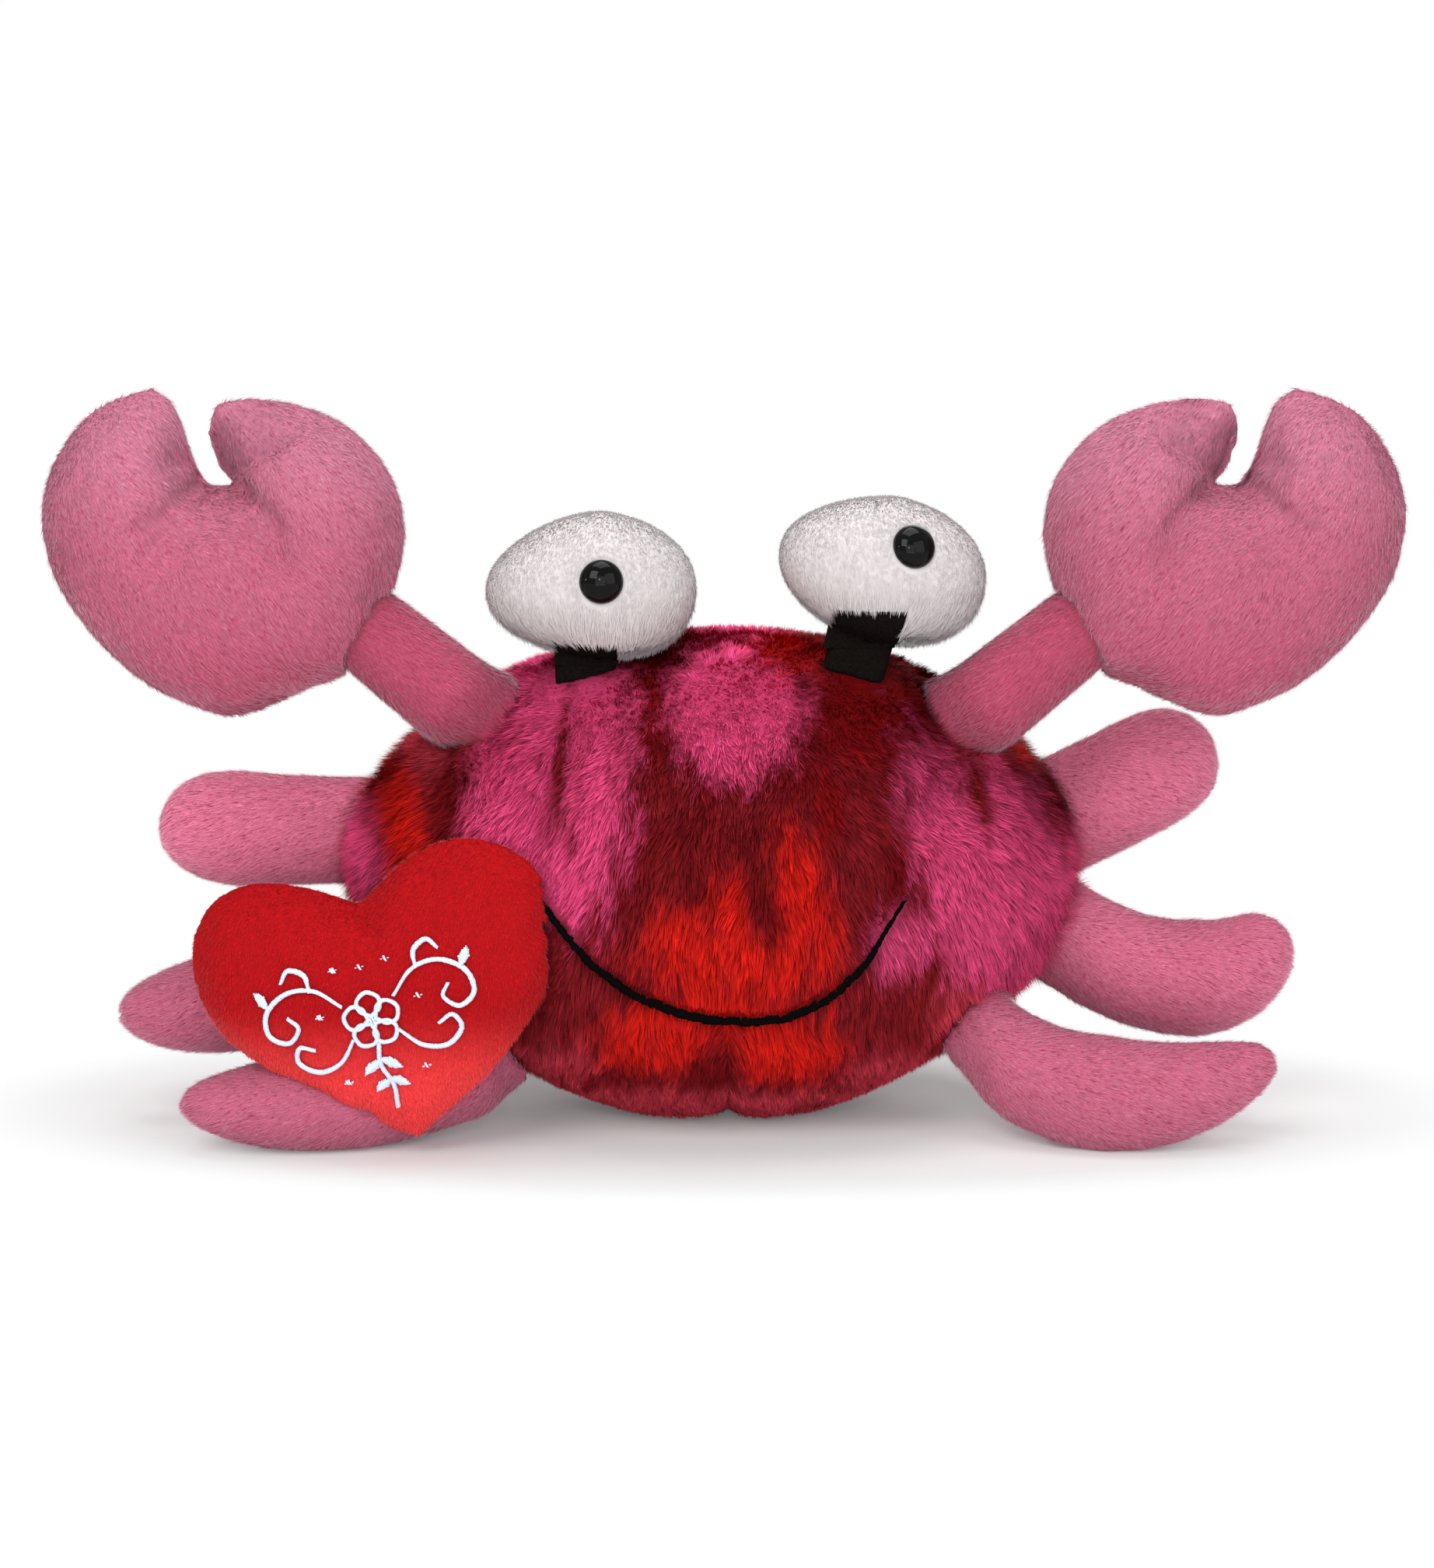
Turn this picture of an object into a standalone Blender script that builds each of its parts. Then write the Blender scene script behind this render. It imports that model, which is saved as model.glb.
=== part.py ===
"""Plush crab: a stuffed body, two arms with pincer claws, six short legs, two eyes on
felt stalks with plastic safety-eye pupils, an embroidered smile and a stuffed heart.

Metres, +Z up. The crab faces -Y and sits on the floor at Z = 0, with X = 0 at its middle.
Left and right are as seen from the front, so right is +X.
"""

import math

import bmesh
import bpy
import numpy as np
from mathutils import Matrix, Vector
from mathutils.bvhtree import BVHTree
from mathutils.geometry import delaunay_2d_cdt

# Gap that touching pieces keep
CLEARANCE = 0.0003

# Body: a rounded cushion, flat where it sits
BODY_HALF_LEFT = 0.0915
BODY_HALF_RIGHT = 0.0850
BODY_FRONT = 0.0580
BODY_BACK = 0.0540
BODY_HEIGHT = 0.1176
BODY_SAG = 0.0018
BODY_SQUARENESS = 2.2
BODY_TOP_SQUARENESS = 1.97
BODY_BELLY_SQUARENESS = 1.5
CHEEK_CREASE_DEPTH = 0.0045
CHEEK_CREASE_WIDTH = 0.0090
BELLY_SEAM_DEPTH = 0.0012
BELLY_SEAM_WIDTH = 0.0050

# Arms: round tubes from the shoulders up to the wrists
ARM_LENGTH_LEFT = 0.0316
ARM_LENGTH_RIGHT = 0.0337
ARM_SHOULDER_THICKNESS = 0.0230
ARM_WRIST_THICKNESS = 0.0190
ARM_SEAT_DEPTH = 0.0150
ARM_RISE = 39.5
ARM_SHOULDER_PLACE = (21.0, 34.0)

# Claws: stuffed pads cut to a pincer outline
CLAW_WIDTH = 0.0855
CLAW_HEIGHT = 0.0780
CLAW_THICKNESS = 0.0460
CLAW_SEAT_DEPTH = 0.0110
CLAW_CREASE_SHARE = 0.30
CLAW_CREASE_WIDTH = 0.0055

# Legs: the tube by the body, and the foot beyond the heel
LEG_THICKNESS = 0.0250
FOOT_THICKNESS = 0.0280
LEG_FLATNESS = 0.82
LEVEL_LEG_FLATNESS = 0.92
LEG_SEAT_DEPTH = 0.0130
LEG_HEEL_SHARE = 0.55
LEG_TOE_START = 0.45
LEG_SEAM_RIDGE = 0.0005
FLOOR_PRESS = 0.0010

# Eyes: plush eggs on black felt stalks
EYE_WIDTH = 0.0496
EYE_DEPTH = 0.0350
EYE_HEIGHT = 0.0342
EYE_SQUARENESS = 2.15
EYE_TAPER_ABOVE = 0.26
EYE_TAPER_BELOW = 0.12
STALK_WIDTH = 0.0150
STALK_THICKNESS = 0.0050
STALK_SQUARENESS = 4.0
STALK_SEAT_DEPTH = 0.0080

# Safety-eye pupils: a domed head on a ribbed shank, held by a lock washer inside the eye
PUPIL_DIAMETER = 0.0103
PUPIL_DOME_HEIGHT = 0.0036
PUPIL_RIM_HEIGHT = 0.0009
PUPIL_SINK = 0.0010
SHANK_DIAMETER = 0.0030
SHANK_LENGTH = 0.0110
SHANK_RIB_HEIGHT = 0.00035
SHANK_RIB_PITCH = 0.0024
WASHER_DIAMETER = 0.0110
WASHER_THICKNESS = 0.0012
WASHER_DEPTH = 0.0052

# Smile: an embroidered bead laid on the body
MOUTH_LOW_X = 0.0060
MOUTH_LOW_Z = 0.0345
MOUTH_REACH_LEFT = 0.0490
MOUTH_REACH_RIGHT = 0.0355
MOUTH_DEPTH = 0.0280
MOUTH_BEAD = 0.0017
MOUTH_CURVE = 2.35

# Heart: a stuffed pad leaning on the body and the lower left leg
HEART_WIDTH = 0.0810
HEART_HEIGHT = 0.0683
HEART_THICKNESS = 0.0250
HEART_TILT = 13.5
HEART_CENTRE_X = -0.0796
HEART_CENTRE_Z = 0.0383
HEART_PRESS = 0.0040

# How round a stuffed pad is towards its seam: 0.5 is full, 1 is flat
PAD_ROUNDNESS = 0.56

# Mesh fineness
BODY_SEGMENTS = 44
BODY_RINGS = 26
EYE_SEGMENTS = 24
EYE_RINGS = 14
LIMB_SEGMENTS = 14
LEG_RINGS = 12
ARM_RINGS = 9
LATHE_SEGMENTS = 16
PAD_SPACING = 0.0058
PAD_KEEP_OFF = 0.62
RING_CROWDING = 1.5
SEAM_RIDGE_SHARPNESS = 9
STALK_STEPS = 3
DOME_STEPS = 5
HALVINGS = 40
MOUTH_POINTS = 36
MOUTH_SIDES = 7

# Colours, as seen in daylight
PINK = (0.62, 0.15, 0.26, 1.0)
CRIMSON = (0.33, 0.02, 0.06, 1.0)
RED = (0.63, 0.01, 0.015, 1.0)
WHITE = (0.83, 0.80, 0.82, 1.0)
BLACK = (0.008, 0.008, 0.009, 1.0)
CLEAR_NYLON = (0.75, 0.75, 0.72, 1.0)

# Pincer outline as shares of the claw's width, outwards from the wrist, and of its height,
# up from the wrist. Each run is one smooth seam, and runs meet at the corners.
CLAW_OUTLINE = (
    ((0.600, 0.750), (0.540, 0.704), (0.518, 0.641), (0.489, 0.532), (0.444, 0.447)),
    ((0.444, 0.447), (0.411, 0.454), (0.366, 0.445)),
    ((0.366, 0.445), (0.420, 0.506), (0.450, 0.610), (0.425, 0.710)),
    ((0.425, 0.710), (0.247, 0.706), (0.064, 0.633), (-0.058, 0.473), (-0.089, 0.313),
     (-0.068, 0.178), (-0.020, 0.010), (0.084, -0.121), (0.185, -0.163), (0.365, -0.245),
     (0.498, -0.223), (0.689, -0.104), (0.855, 0.119), (0.908, 0.313), (0.884, 0.490),
     (0.770, 0.672), (0.600, 0.750)),
)
# Folds that the seam pulls into the claw, from the two corners of the notch
CLAW_CREASES = (
    ((0.366, 0.445), (0.235, 0.260)),
    ((0.444, 0.447), (0.560, 0.300)),
)

# Right half of the heart as shares of its half width and of its height, from notch to tip
HEART_HALF = (
    ((0.0, 0.333), (0.16, 0.395), (0.38, 0.462), (0.62, 0.488), (0.85, 0.425), (0.985, 0.293),
     (1.0, 0.140), (0.91, -0.030), (0.68, -0.190), (0.40, -0.345), (0.0, -0.512)),
)

# Each leg: where it leaves the body (degrees forward of sideways, degrees above the middle)
# and how thick it is there, then the aim of leg and foot (degrees forward of sideways,
# degrees of rise) and their lengths. A higher toe number is a blunter toe, face is the side that the pad shows, and
# floor marks a foot that lies on the floor.
LEGS = {
    "leg_upper_right": dict(side=1, place=(-7, 8.5), root=0.0280, leg=(-3, 26), leg_length=0.023,
                            foot=(-30, 22), foot_length=0.0185, toe=2.6, face="front", floor=False),
    "leg_middle_right": dict(side=1, place=(6, -7.5), root=LEG_THICKNESS, leg=(7, -23), leg_length=0.032,
                             foot=(5, 35), foot_length=0.027, toe=2.6, face="front", floor=False),
    "leg_lower_right": dict(side=1, place=(26, -24), root=0.0225, leg=(20, -20), leg_length=0.031,
                            foot=(4, 13), foot_length=0.045, toe=1.7, face="front", floor=True),
    "leg_upper_left": dict(side=-1, place=(-7, 5.8), root=LEG_THICKNESS, leg=(-4, -0.5), leg_length=0.028,
                           foot=(-21, 2), foot_length=0.023, toe=2.4, face="front", floor=False),
    "leg_middle_left": dict(side=-1, place=(5, -12), root=LEG_THICKNESS, leg=(10, -17.5), leg_length=0.031,
                            foot=(8, -5), foot_length=0.034, toe=1.8, face="top", floor=False),
    "leg_lower_left": dict(side=-1, place=(25, -33), root=LEG_THICKNESS, leg=(19, -14), leg_length=0.033,
                           foot=(15, 1), foot_length=0.045, toe=1.8, face="top", floor=True),
}

# Each eye: its stalk's foot on the body, the stalk's free length and lean, the eye's shift
# and roll over the stalk, and where the pupil looks
EYES = {
    "left": dict(x=-0.0327, y=-0.0215, stalk=0.0045, lean=0.0, shift=0.0015, roll=-7.5, droop=0.21,
                 look=(0.16, -1.0, 0.14)),
    "right": dict(x=0.0306, y=-0.0210, stalk=0.0083, lean=15.0, shift=0.0046, roll=-14.0, droop=0.02,
                  look=(0.44, -1.0, 0.44)),
}

FACES = {"front": Vector((0, -1, 0)), "top": Vector((0, 0, 1))}


def clear_scene():
    for obj in list(bpy.data.objects):
        bpy.data.objects.remove(obj, do_unlink=True)


def add_object(name, mesh):
    obj = bpy.data.objects.new(name, mesh)
    bpy.context.scene.collection.objects.link(obj)
    return obj


def finish_mesh(name, bm, sharp_angle=50.0):
    """Turn a bmesh into a named object, shaded smooth apart from its sharp edges. Its faces
    become triangles, so that a clearance copy has the same facets."""
    bmesh.ops.triangulate(bm, faces=bm.faces)
    bmesh.ops.recalc_face_normals(bm, faces=bm.faces)
    mesh = bpy.data.meshes.new(name)
    bm.to_mesh(mesh)
    bm.free()
    mesh.shade_smooth()
    mesh.set_sharp_from_angle(angle=math.radians(sharp_angle))
    return add_object(name, mesh)


def paint(obj, colour, roughness):
    """Give an object its own plain material."""
    material = bpy.data.materials.new(obj.name + "_material")
    material.use_nodes = True
    shader = material.node_tree.nodes["Principled BSDF"]
    shader.inputs["Base Color"].default_value = colour
    shader.inputs["Roughness"].default_value = roughness
    shader.inputs["Metallic"].default_value = 0.0
    obj.data.materials.append(material)


def as_cutter(obj):
    obj.hide_render = True
    obj.display_type = "WIRE"
    return obj


def clearance_copy(obj):
    """A cutter that stands one clearance proud of an object's own mesh."""
    cutter = as_cutter(add_object(obj.name + "_clearance", obj.data))
    swell = cutter.modifiers.new("swell", "DISPLACE")
    swell.strength = CLEARANCE
    swell.mid_level = 0.0
    return cutter


def cut(obj, *cutters):
    """Take each cutter's space out of an object."""
    for cutter in cutters:
        boolean = obj.modifiers.new("seat_on_" + cutter.name, "BOOLEAN")
        boolean.operation = "DIFFERENCE"
        boolean.solver = "EXACT"
        boolean.object = cutter


def signed_power(value, power):
    return math.copysign(abs(value) ** power, value)


def unit(turn, rise, side):
    """Direction that points sideways, turned forwards and raised by degrees."""
    turn, rise = math.radians(turn), math.radians(rise)
    return Vector((side * math.cos(rise) * math.cos(turn),
                   -math.cos(rise) * math.sin(turn), math.sin(rise)))


def stitch_rings(bm, rings):
    """Join rings of vertices, in order, with quads."""
    for ring, following in zip(rings, rings[1:]):
        count = len(ring)
        for i in range(count):
            j = (i + 1) % count
            bm.faces.new((ring[i], ring[j], following[j], following[i]))


def fan(bm, ring, tip):
    for i, vertex in enumerate(ring):
        bm.faces.new((vertex, ring[(i + 1) % len(ring)], tip))


def rounded_solid(bm, point_at, segments, rings):
    """Closed skin over longitude and latitude, with a pole at each end."""
    loops = []
    for row in range(1, rings):
        latitude = math.pi * row / rings - math.pi / 2
        loop = [bm.verts.new(point_at(2 * math.pi * i / segments, latitude))
                for i in range(segments)]
        loops.append(loop)
    stitch_rings(bm, loops)
    fan(bm, loops[0], bm.verts.new(point_at(0.0, -math.pi / 2)))
    fan(bm, loops[-1], bm.verts.new(point_at(0.0, math.pi / 2)))


def superellipsoid_point(longitude, latitude, squareness):
    """Point on a superellipsoid of half size 1."""
    power = 2.0 / squareness
    across = signed_power(math.cos(latitude), power)
    return Vector((across * signed_power(math.cos(longitude), power),
                   across * signed_power(math.sin(longitude), power),
                   signed_power(math.sin(latitude), power)))


# The body and the places on it

BODY_HALF_HEIGHT = (BODY_HEIGHT + BODY_SAG) / 2
BODY_CENTRE = Vector((0, 0, BODY_HEIGHT - BODY_HALF_HEIGHT))


def body_half_size(x, y):
    """Half sizes of the quarter of the body that holds a point."""
    return (BODY_HALF_RIGHT if x >= 0 else BODY_HALF_LEFT,
            BODY_BACK if y >= 0 else BODY_FRONT, BODY_HALF_HEIGHT)


def height_term(share):
    """What a height, as a share of the half height, takes from the body's girth."""
    squareness = BODY_TOP_SQUARENESS if share >= 0 else BODY_BELLY_SQUARENESS
    return abs(share) ** squareness


def in_body(point):
    half_x, half_y, half_z = body_half_size(point.x, point.y)
    girth = abs(point.x / half_x) ** BODY_SQUARENESS + abs(point.y / half_y) ** BODY_SQUARENESS
    return girth + height_term((point.z - BODY_CENTRE.z) / half_z) < 1.0


def on_body(direction):
    """Where a line from the body's centre leaves the body, found by halving."""
    near, far = 0.0, BODY_HALF_LEFT + BODY_HALF_RIGHT + BODY_HEIGHT
    for _ in range(HALVINGS):
        middle = (near + far) / 2
        if in_body(BODY_CENTRE + direction * middle):
            near = middle
        else:
            far = middle
    return BODY_CENTRE + direction * near


def body_top(x, y):
    half_x, half_y, half_z = body_half_size(x, y)
    rest = 1.0 - abs(x / half_x) ** BODY_SQUARENESS - abs(y / half_y) ** BODY_SQUARENESS
    return BODY_CENTRE.z + half_z * max(rest, 0.0) ** (1.0 / BODY_TOP_SQUARENESS)


def body_front(x, z):
    half_x, half_y, half_z = body_half_size(x, -1)
    rest = 1.0 - abs(x / half_x) ** BODY_SQUARENESS - height_term((z - BODY_CENTRE.z) / half_z)
    return -half_y * max(rest, 0.0) ** (1.0 / BODY_SQUARENESS)


def shoulder(side):
    return on_body(unit(*ARM_SHOULDER_PLACE, side))


def mouth_line(share):
    """Front view of the smile, for a share from -1 at its left end to 1 at its right."""
    reach = MOUTH_REACH_RIGHT if share >= 0 else MOUTH_REACH_LEFT
    return MOUTH_LOW_X + share * reach, MOUTH_LOW_Z + MOUTH_DEPTH * abs(share) ** MOUTH_CURVE


def distance_to_segment(point, start, end):
    along = end - start
    share = max(0.0, min(1.0, (point - start).dot(along) / along.length_squared))
    return (point - start - along * share).length


def bell(distance, width):
    return math.exp(-(distance / width) ** 2)


def body_dimple(point):
    """How far the folds from shoulder to smile, and the belly seam, draw the skin in."""
    if point.y > 0:
        return 0.0
    side = 1 if point.x >= 0 else -1
    place = Vector((point.x, point.z))
    top = Vector((shoulder(side).x, shoulder(side).z))
    end = Vector(mouth_line(side))
    fold = CHEEK_CREASE_DEPTH * bell(distance_to_segment(place, top, end), CHEEK_CREASE_WIDTH)
    below_smile = max(0.0, min(1.0, (MOUTH_LOW_Z - point.z) / MOUTH_LOW_Z))
    seam = BELLY_SEAM_DEPTH * bell(point.x, BELLY_SEAM_WIDTH) * below_smile
    return fold + seam


def build_body():
    def point_at(longitude, latitude):
        height = math.sin(latitude)
        girth = max(1.0 - height_term(height), 0.0) ** (1.0 / BODY_SQUARENESS)
        power = 2.0 / BODY_SQUARENESS
        share = Vector((girth * signed_power(math.cos(longitude), power),
                        girth * signed_power(math.sin(longitude), power), height))
        half = body_half_size(share.x, share.y)
        point = BODY_CENTRE + Vector(s * h for s, h in zip(share, half))
        inward = (BODY_CENTRE - point).normalized()
        return point + inward * body_dimple(point)

    bm = bmesh.new()
    rounded_solid(bm, point_at, BODY_SEGMENTS, BODY_RINGS)
    flatten_on_floor(bm)
    return finish_mesh("body", bm)


def flatten_on_floor(bm):
    """Cut off what reaches below the floor and close the cut with one flat face."""
    geometry = bm.verts[:] + bm.edges[:] + bm.faces[:]
    result = bmesh.ops.bisect_plane(bm, geom=geometry, dist=1e-6, plane_co=(0, 0, 0),
                                    plane_no=(0, 0, 1), clear_inner=True)
    rim = [item for item in result["geom_cut"] if isinstance(item, bmesh.types.BMEdge)]
    if rim:
        bmesh.ops.contextual_create(bm, geom=rim)


# Tubes: arms, legs and stalks

def loft(bm, centres, half_widths, half_depths, face, squareness=2.0, ridge=0.0):
    """Closed tube through rings at the given centres. face is the direction of the depth,
    and the ridge runs along both edges of the width. A last half width of 0 makes a tip."""
    rings = []
    count = len(centres)
    power = 2.0 / squareness
    for i, (centre, half_width, half_depth) in enumerate(zip(centres, half_widths, half_depths)):
        tangent = (centres[min(i + 1, count - 1)] - centres[max(i - 1, 0)]).normalized()
        width_way = tangent.cross(face).normalized()
        depth_way = width_way.cross(tangent).normalized()
        if half_width == 0.0:
            fan(bm, rings[-1], bm.verts.new(centre))
            break
        ring = []
        for k in range(LIMB_SEGMENTS):
            angle = 2 * math.pi * k / LIMB_SEGMENTS
            width = half_width * signed_power(math.cos(angle), power)
            width += ridge * signed_power(math.cos(angle), SEAM_RIDGE_SHARPNESS)
            depth = half_depth * signed_power(math.sin(angle), power)
            ring.append(bm.verts.new(centre + width_way * width + depth_way * depth))
        rings.append(ring)
    stitch_rings(bm, rings)
    bm.faces.new(rings[0])
    if half_widths[-1] != 0.0:
        bm.faces.new(rings[-1])


def arm_length(side):
    return ARM_LENGTH_RIGHT if side > 0 else ARM_LENGTH_LEFT


def arm_wrist(side):
    return shoulder(side) + unit(0, ARM_RISE, side) * arm_length(side)


def build_arm(name, side):
    aim = unit(0, ARM_RISE, side)
    start = shoulder(side) - aim * ARM_SEAT_DEPTH
    reach = ARM_SEAT_DEPTH + arm_length(side) + CLAW_SEAT_DEPTH
    centres, halves = [], []
    for i in range(ARM_RINGS + 1):
        share = math.sin(math.pi / 2 * i / ARM_RINGS)
        centres.append(start + aim * reach * share)
        taper = (ARM_SHOULDER_THICKNESS
                 + (ARM_WRIST_THICKNESS - ARM_SHOULDER_THICKNESS) * share) / 2
        from_end = reach * (1 - share)
        cap = min(1.0, from_end / (ARM_WRIST_THICKNESS / 2))
        halves.append(taper * math.sqrt(1 - (1 - cap) ** 2))
    halves[-1] = 0.0
    bm = bmesh.new()
    loft(bm, centres, halves, halves, FACES["front"], ridge=LEG_SEAM_RIDGE)
    return finish_mesh(name, bm)


def leg_path(pose):
    """Root on the body's skin, heel and toe of one leg."""
    side = pose["side"]
    leg_way = unit(*pose["leg"], side)
    foot_way = unit(*pose["foot"], side)
    root = on_body(unit(*pose["place"], side))
    heel = root + leg_way * pose["leg_length"]
    if pose["floor"]:
        flat = LEVEL_LEG_FLATNESS if pose["face"] == "top" else 1.0
        heel.z = FOOT_THICKNESS / 2 * flat - FLOOR_PRESS
    return root, heel, heel + foot_way * pose["foot_length"]


def build_leg(name, pose):
    """A leg that starts inside the body, passes its heel and ends in a rounded toe."""
    root, heel, toe = leg_path(pose)
    start = root - (heel - root).normalized() * LEG_SEAT_DEPTH
    bend = heel * 2 - (start + toe) / 2
    centres, widths = [], []
    for i in range(LEG_RINGS + 1):
        t = 1 - (1 - i / LEG_RINGS) ** RING_CROWDING
        centres.append(start * (1 - t) ** 2 + bend * 2 * t * (1 - t) + toe * t ** 2)
        grown = min(1.0, t / LEG_HEEL_SHARE)
        half = (pose["root"] + (FOOT_THICKNESS - pose["root"]) * grown ** 2) / 2
        toe_share = max(0.0, (t - LEG_TOE_START) / (1 - LEG_TOE_START))
        widths.append(half * max(0.0, 1 - toe_share ** pose["toe"]) ** 0.5)
    widths[-1] = 0.0
    flatness = LEVEL_LEG_FLATNESS if pose["face"] == "top" else LEG_FLATNESS
    depths = [width * flatness for width in widths]
    bm = bmesh.new()
    loft(bm, centres, widths, depths, FACES[pose["face"]], ridge=LEG_SEAM_RIDGE)
    if pose["floor"]:
        flatten_on_floor(bm)
    return finish_mesh(name, bm)


# Pads: claws and heart

def smooth_run(points, spacing):
    """Points at an even spacing on a smooth curve through a seam run, without its last."""
    padded = [points[0] * 2 - points[1]] + list(points) + [points[-1] * 2 - points[-2]]
    curve = []
    for before, start, end, after in zip(padded, padded[1:], padded[2:], padded[3:]):
        steps = max(1, round((end - start).length / spacing))
        for i in range(steps):
            t = i / steps
            curve.append(0.5 * (2 * start + (end - before) * t
                                + (2 * before - 5 * start + 4 * end - after) * t ** 2
                                + (3 * start - before - 3 * end + after) * t ** 3))
    return curve


def inside(point, outline):
    """Whether a flat point lies inside a closed outline, by counting crossings."""
    crossings = 0
    for start, end in zip(outline, outline[1:] + outline[:1]):
        if (start.y > point.y) != (end.y > point.y):
            share = (point.y - start.y) / (end.y - start.y)
            if point.x < start.x + share * (end.x - start.x):
                crossings += 1
    return crossings % 2 == 1


def fill_points(outline, spacing):
    """Triangular grid of points that keeps off the outline."""
    low_x = min(p.x for p in outline)
    high_x = max(p.x for p in outline)
    low_y = min(p.y for p in outline)
    high_y = max(p.y for p in outline)
    row_step = spacing * math.sqrt(3) / 2
    keep_off = spacing * PAD_KEEP_OFF
    points = []
    for row in range(int((high_y - low_y) / row_step) + 2):
        shift = spacing / 2 if row % 2 else 0.0
        for column in range(int((high_x - low_x) / spacing) + 2):
            point = Vector((low_x + shift + column * spacing, low_y + row * row_step))
            if not inside(point, outline):
                continue
            edges = zip(outline, outline[1:] + outline[:1])
            if min(distance_to_segment(point, a, b) for a, b in edges) > keep_off:
                points.append(point)
    return points


def inflate(points, triangles, fixed):
    """Height of a stuffed cover over each point, 0 at its seam and 1 at its fullest: the
    shape that a film takes under even pressure, rounded towards the seam."""
    count = len(points)
    matrix = np.zeros((count, count))
    load = np.zeros(count)
    for triangle in triangles:
        corners = [points[i] for i in triangle]
        area = abs((corners[1] - corners[0]).cross(corners[2] - corners[0])) / 2
        for k in range(3):
            i, j = triangle[(k + 1) % 3], triangle[(k + 2) % 3]
            one, two = corners[(k + 1) % 3] - corners[k], corners[(k + 2) % 3] - corners[k]
            weight = one.dot(two) / max(abs(one.cross(two)), 1e-12) / 2
            matrix[i, i] += weight
            matrix[j, j] += weight
            matrix[i, j] -= weight
            matrix[j, i] -= weight
            load[triangle[k]] += area / 3
    free = np.array([i for i in range(count) if i >= fixed])
    heights = np.zeros(count)
    heights[free] = np.linalg.solve(matrix[np.ix_(free, free)], load[free])
    return (heights / heights.max()) ** PAD_ROUNDNESS


def build_pad(name, runs, thickness, creases, place):
    """Two covers sewn together along an outline and stuffed. place turns a flat point and
    a height into a point in space. A corner too narrow to hold filling is left out."""
    outline = [p for run in runs for p in smooth_run([Vector(q) for q in run], PAD_SPACING)]
    points = outline + fill_points(outline, PAD_SPACING)
    edges = [(i, (i + 1) % len(outline)) for i in range(len(outline))]
    flat, _, triangles, _, _, _ = delaunay_2d_cdt(points, edges, [], 1, 1e-7)
    heights = inflate(flat, triangles, len(outline))
    for start, end in creases:
        for i in range(len(outline), len(flat)):
            near = bell(distance_to_segment(flat[i], Vector(start), Vector(end)), CLAW_CREASE_WIDTH)
            heights[i] *= 1 - CLAW_CREASE_SHARE * near
    bm = bmesh.new()
    front = [bm.verts.new(place(p, h * thickness / 2)) for p, h in zip(flat, heights)]
    back = front[:len(outline)]
    back += [bm.verts.new(place(p, -h * thickness / 2))
             for p, h in zip(flat[len(outline):], heights[len(outline):])]
    for triangle in triangles:
        if max(triangle) >= len(outline):
            bm.faces.new([front[i] for i in triangle])
            bm.faces.new([back[i] for i in reversed(triangle)])
    bmesh.ops.delete(bm, geom=[v for v in bm.verts if not v.link_faces], context="VERTS")
    return finish_mesh(name, bm, sharp_angle=80.0)


def build_claw(name, side):
    wrist = arm_wrist(side)

    def to_size(share):
        return share[0] * CLAW_WIDTH, share[1] * CLAW_HEIGHT

    def place(point, height):
        return wrist + Vector((side * point.x, -height, point.y))

    runs = [[to_size(share) for share in run] for run in CLAW_OUTLINE]
    creases = [(to_size(start), to_size(end)) for start, end in CLAW_CREASES]
    return build_pad(name, runs, CLAW_THICKNESS, creases, place)


def build_heart():
    half = [(u * HEART_WIDTH / 2, v * HEART_HEIGHT) for u, v in HEART_HALF[0]]
    mirrored = [(-u, v) for u, v in reversed(half)]
    tilt = Matrix.Rotation(math.radians(-HEART_TILT), 3, "Y")
    back_y = body_front(HEART_CENTRE_X + HEART_WIDTH / 4, HEART_CENTRE_Z)
    centre = Vector((HEART_CENTRE_X, back_y - HEART_THICKNESS / 2 + HEART_PRESS,
                     HEART_CENTRE_Z))

    def place(point, height):
        return centre + tilt @ Vector((point.x, -height, point.y))

    return build_pad("heart", [half, mirrored], HEART_THICKNESS, [], place)


# Eyes, stalks and pupils

def eye_frame(pose):
    """Foot of the stalk, the stalk's direction and the centre of the eye."""
    foot = Vector((pose["x"], pose["y"], body_top(pose["x"], pose["y"])))
    lean = math.radians(pose["lean"])
    way = Vector((math.sin(lean), 0, math.cos(lean)))
    centre = foot + way * pose["stalk"] + Vector((pose["shift"], 0, EYE_HEIGHT / 2))
    return foot, way, centre


def build_eyeball(name, pose):
    _, _, centre = eye_frame(pose)
    half = (EYE_WIDTH / 2, EYE_DEPTH / 2, EYE_HEIGHT / 2)
    roll = Matrix.Rotation(math.radians(-pose["roll"]), 3, "Y")

    def point_at(longitude, latitude):
        share = superellipsoid_point(longitude, latitude, EYE_SQUARENESS)
        # the left end of each eye is the slimmer one, and it can hang a little
        outward = max(-share.x, 0.0)
        taper = EYE_TAPER_ABOVE if share.z > 0 else EYE_TAPER_BELOW
        share.z *= 1 - taper * outward
        share.z -= pose["droop"] * outward ** 2
        return centre + roll @ Vector(s * h for s, h in zip(share, half))

    bm = bmesh.new()
    rounded_solid(bm, point_at, EYE_SEGMENTS, EYE_RINGS)
    return finish_mesh(name, bm)


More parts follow.
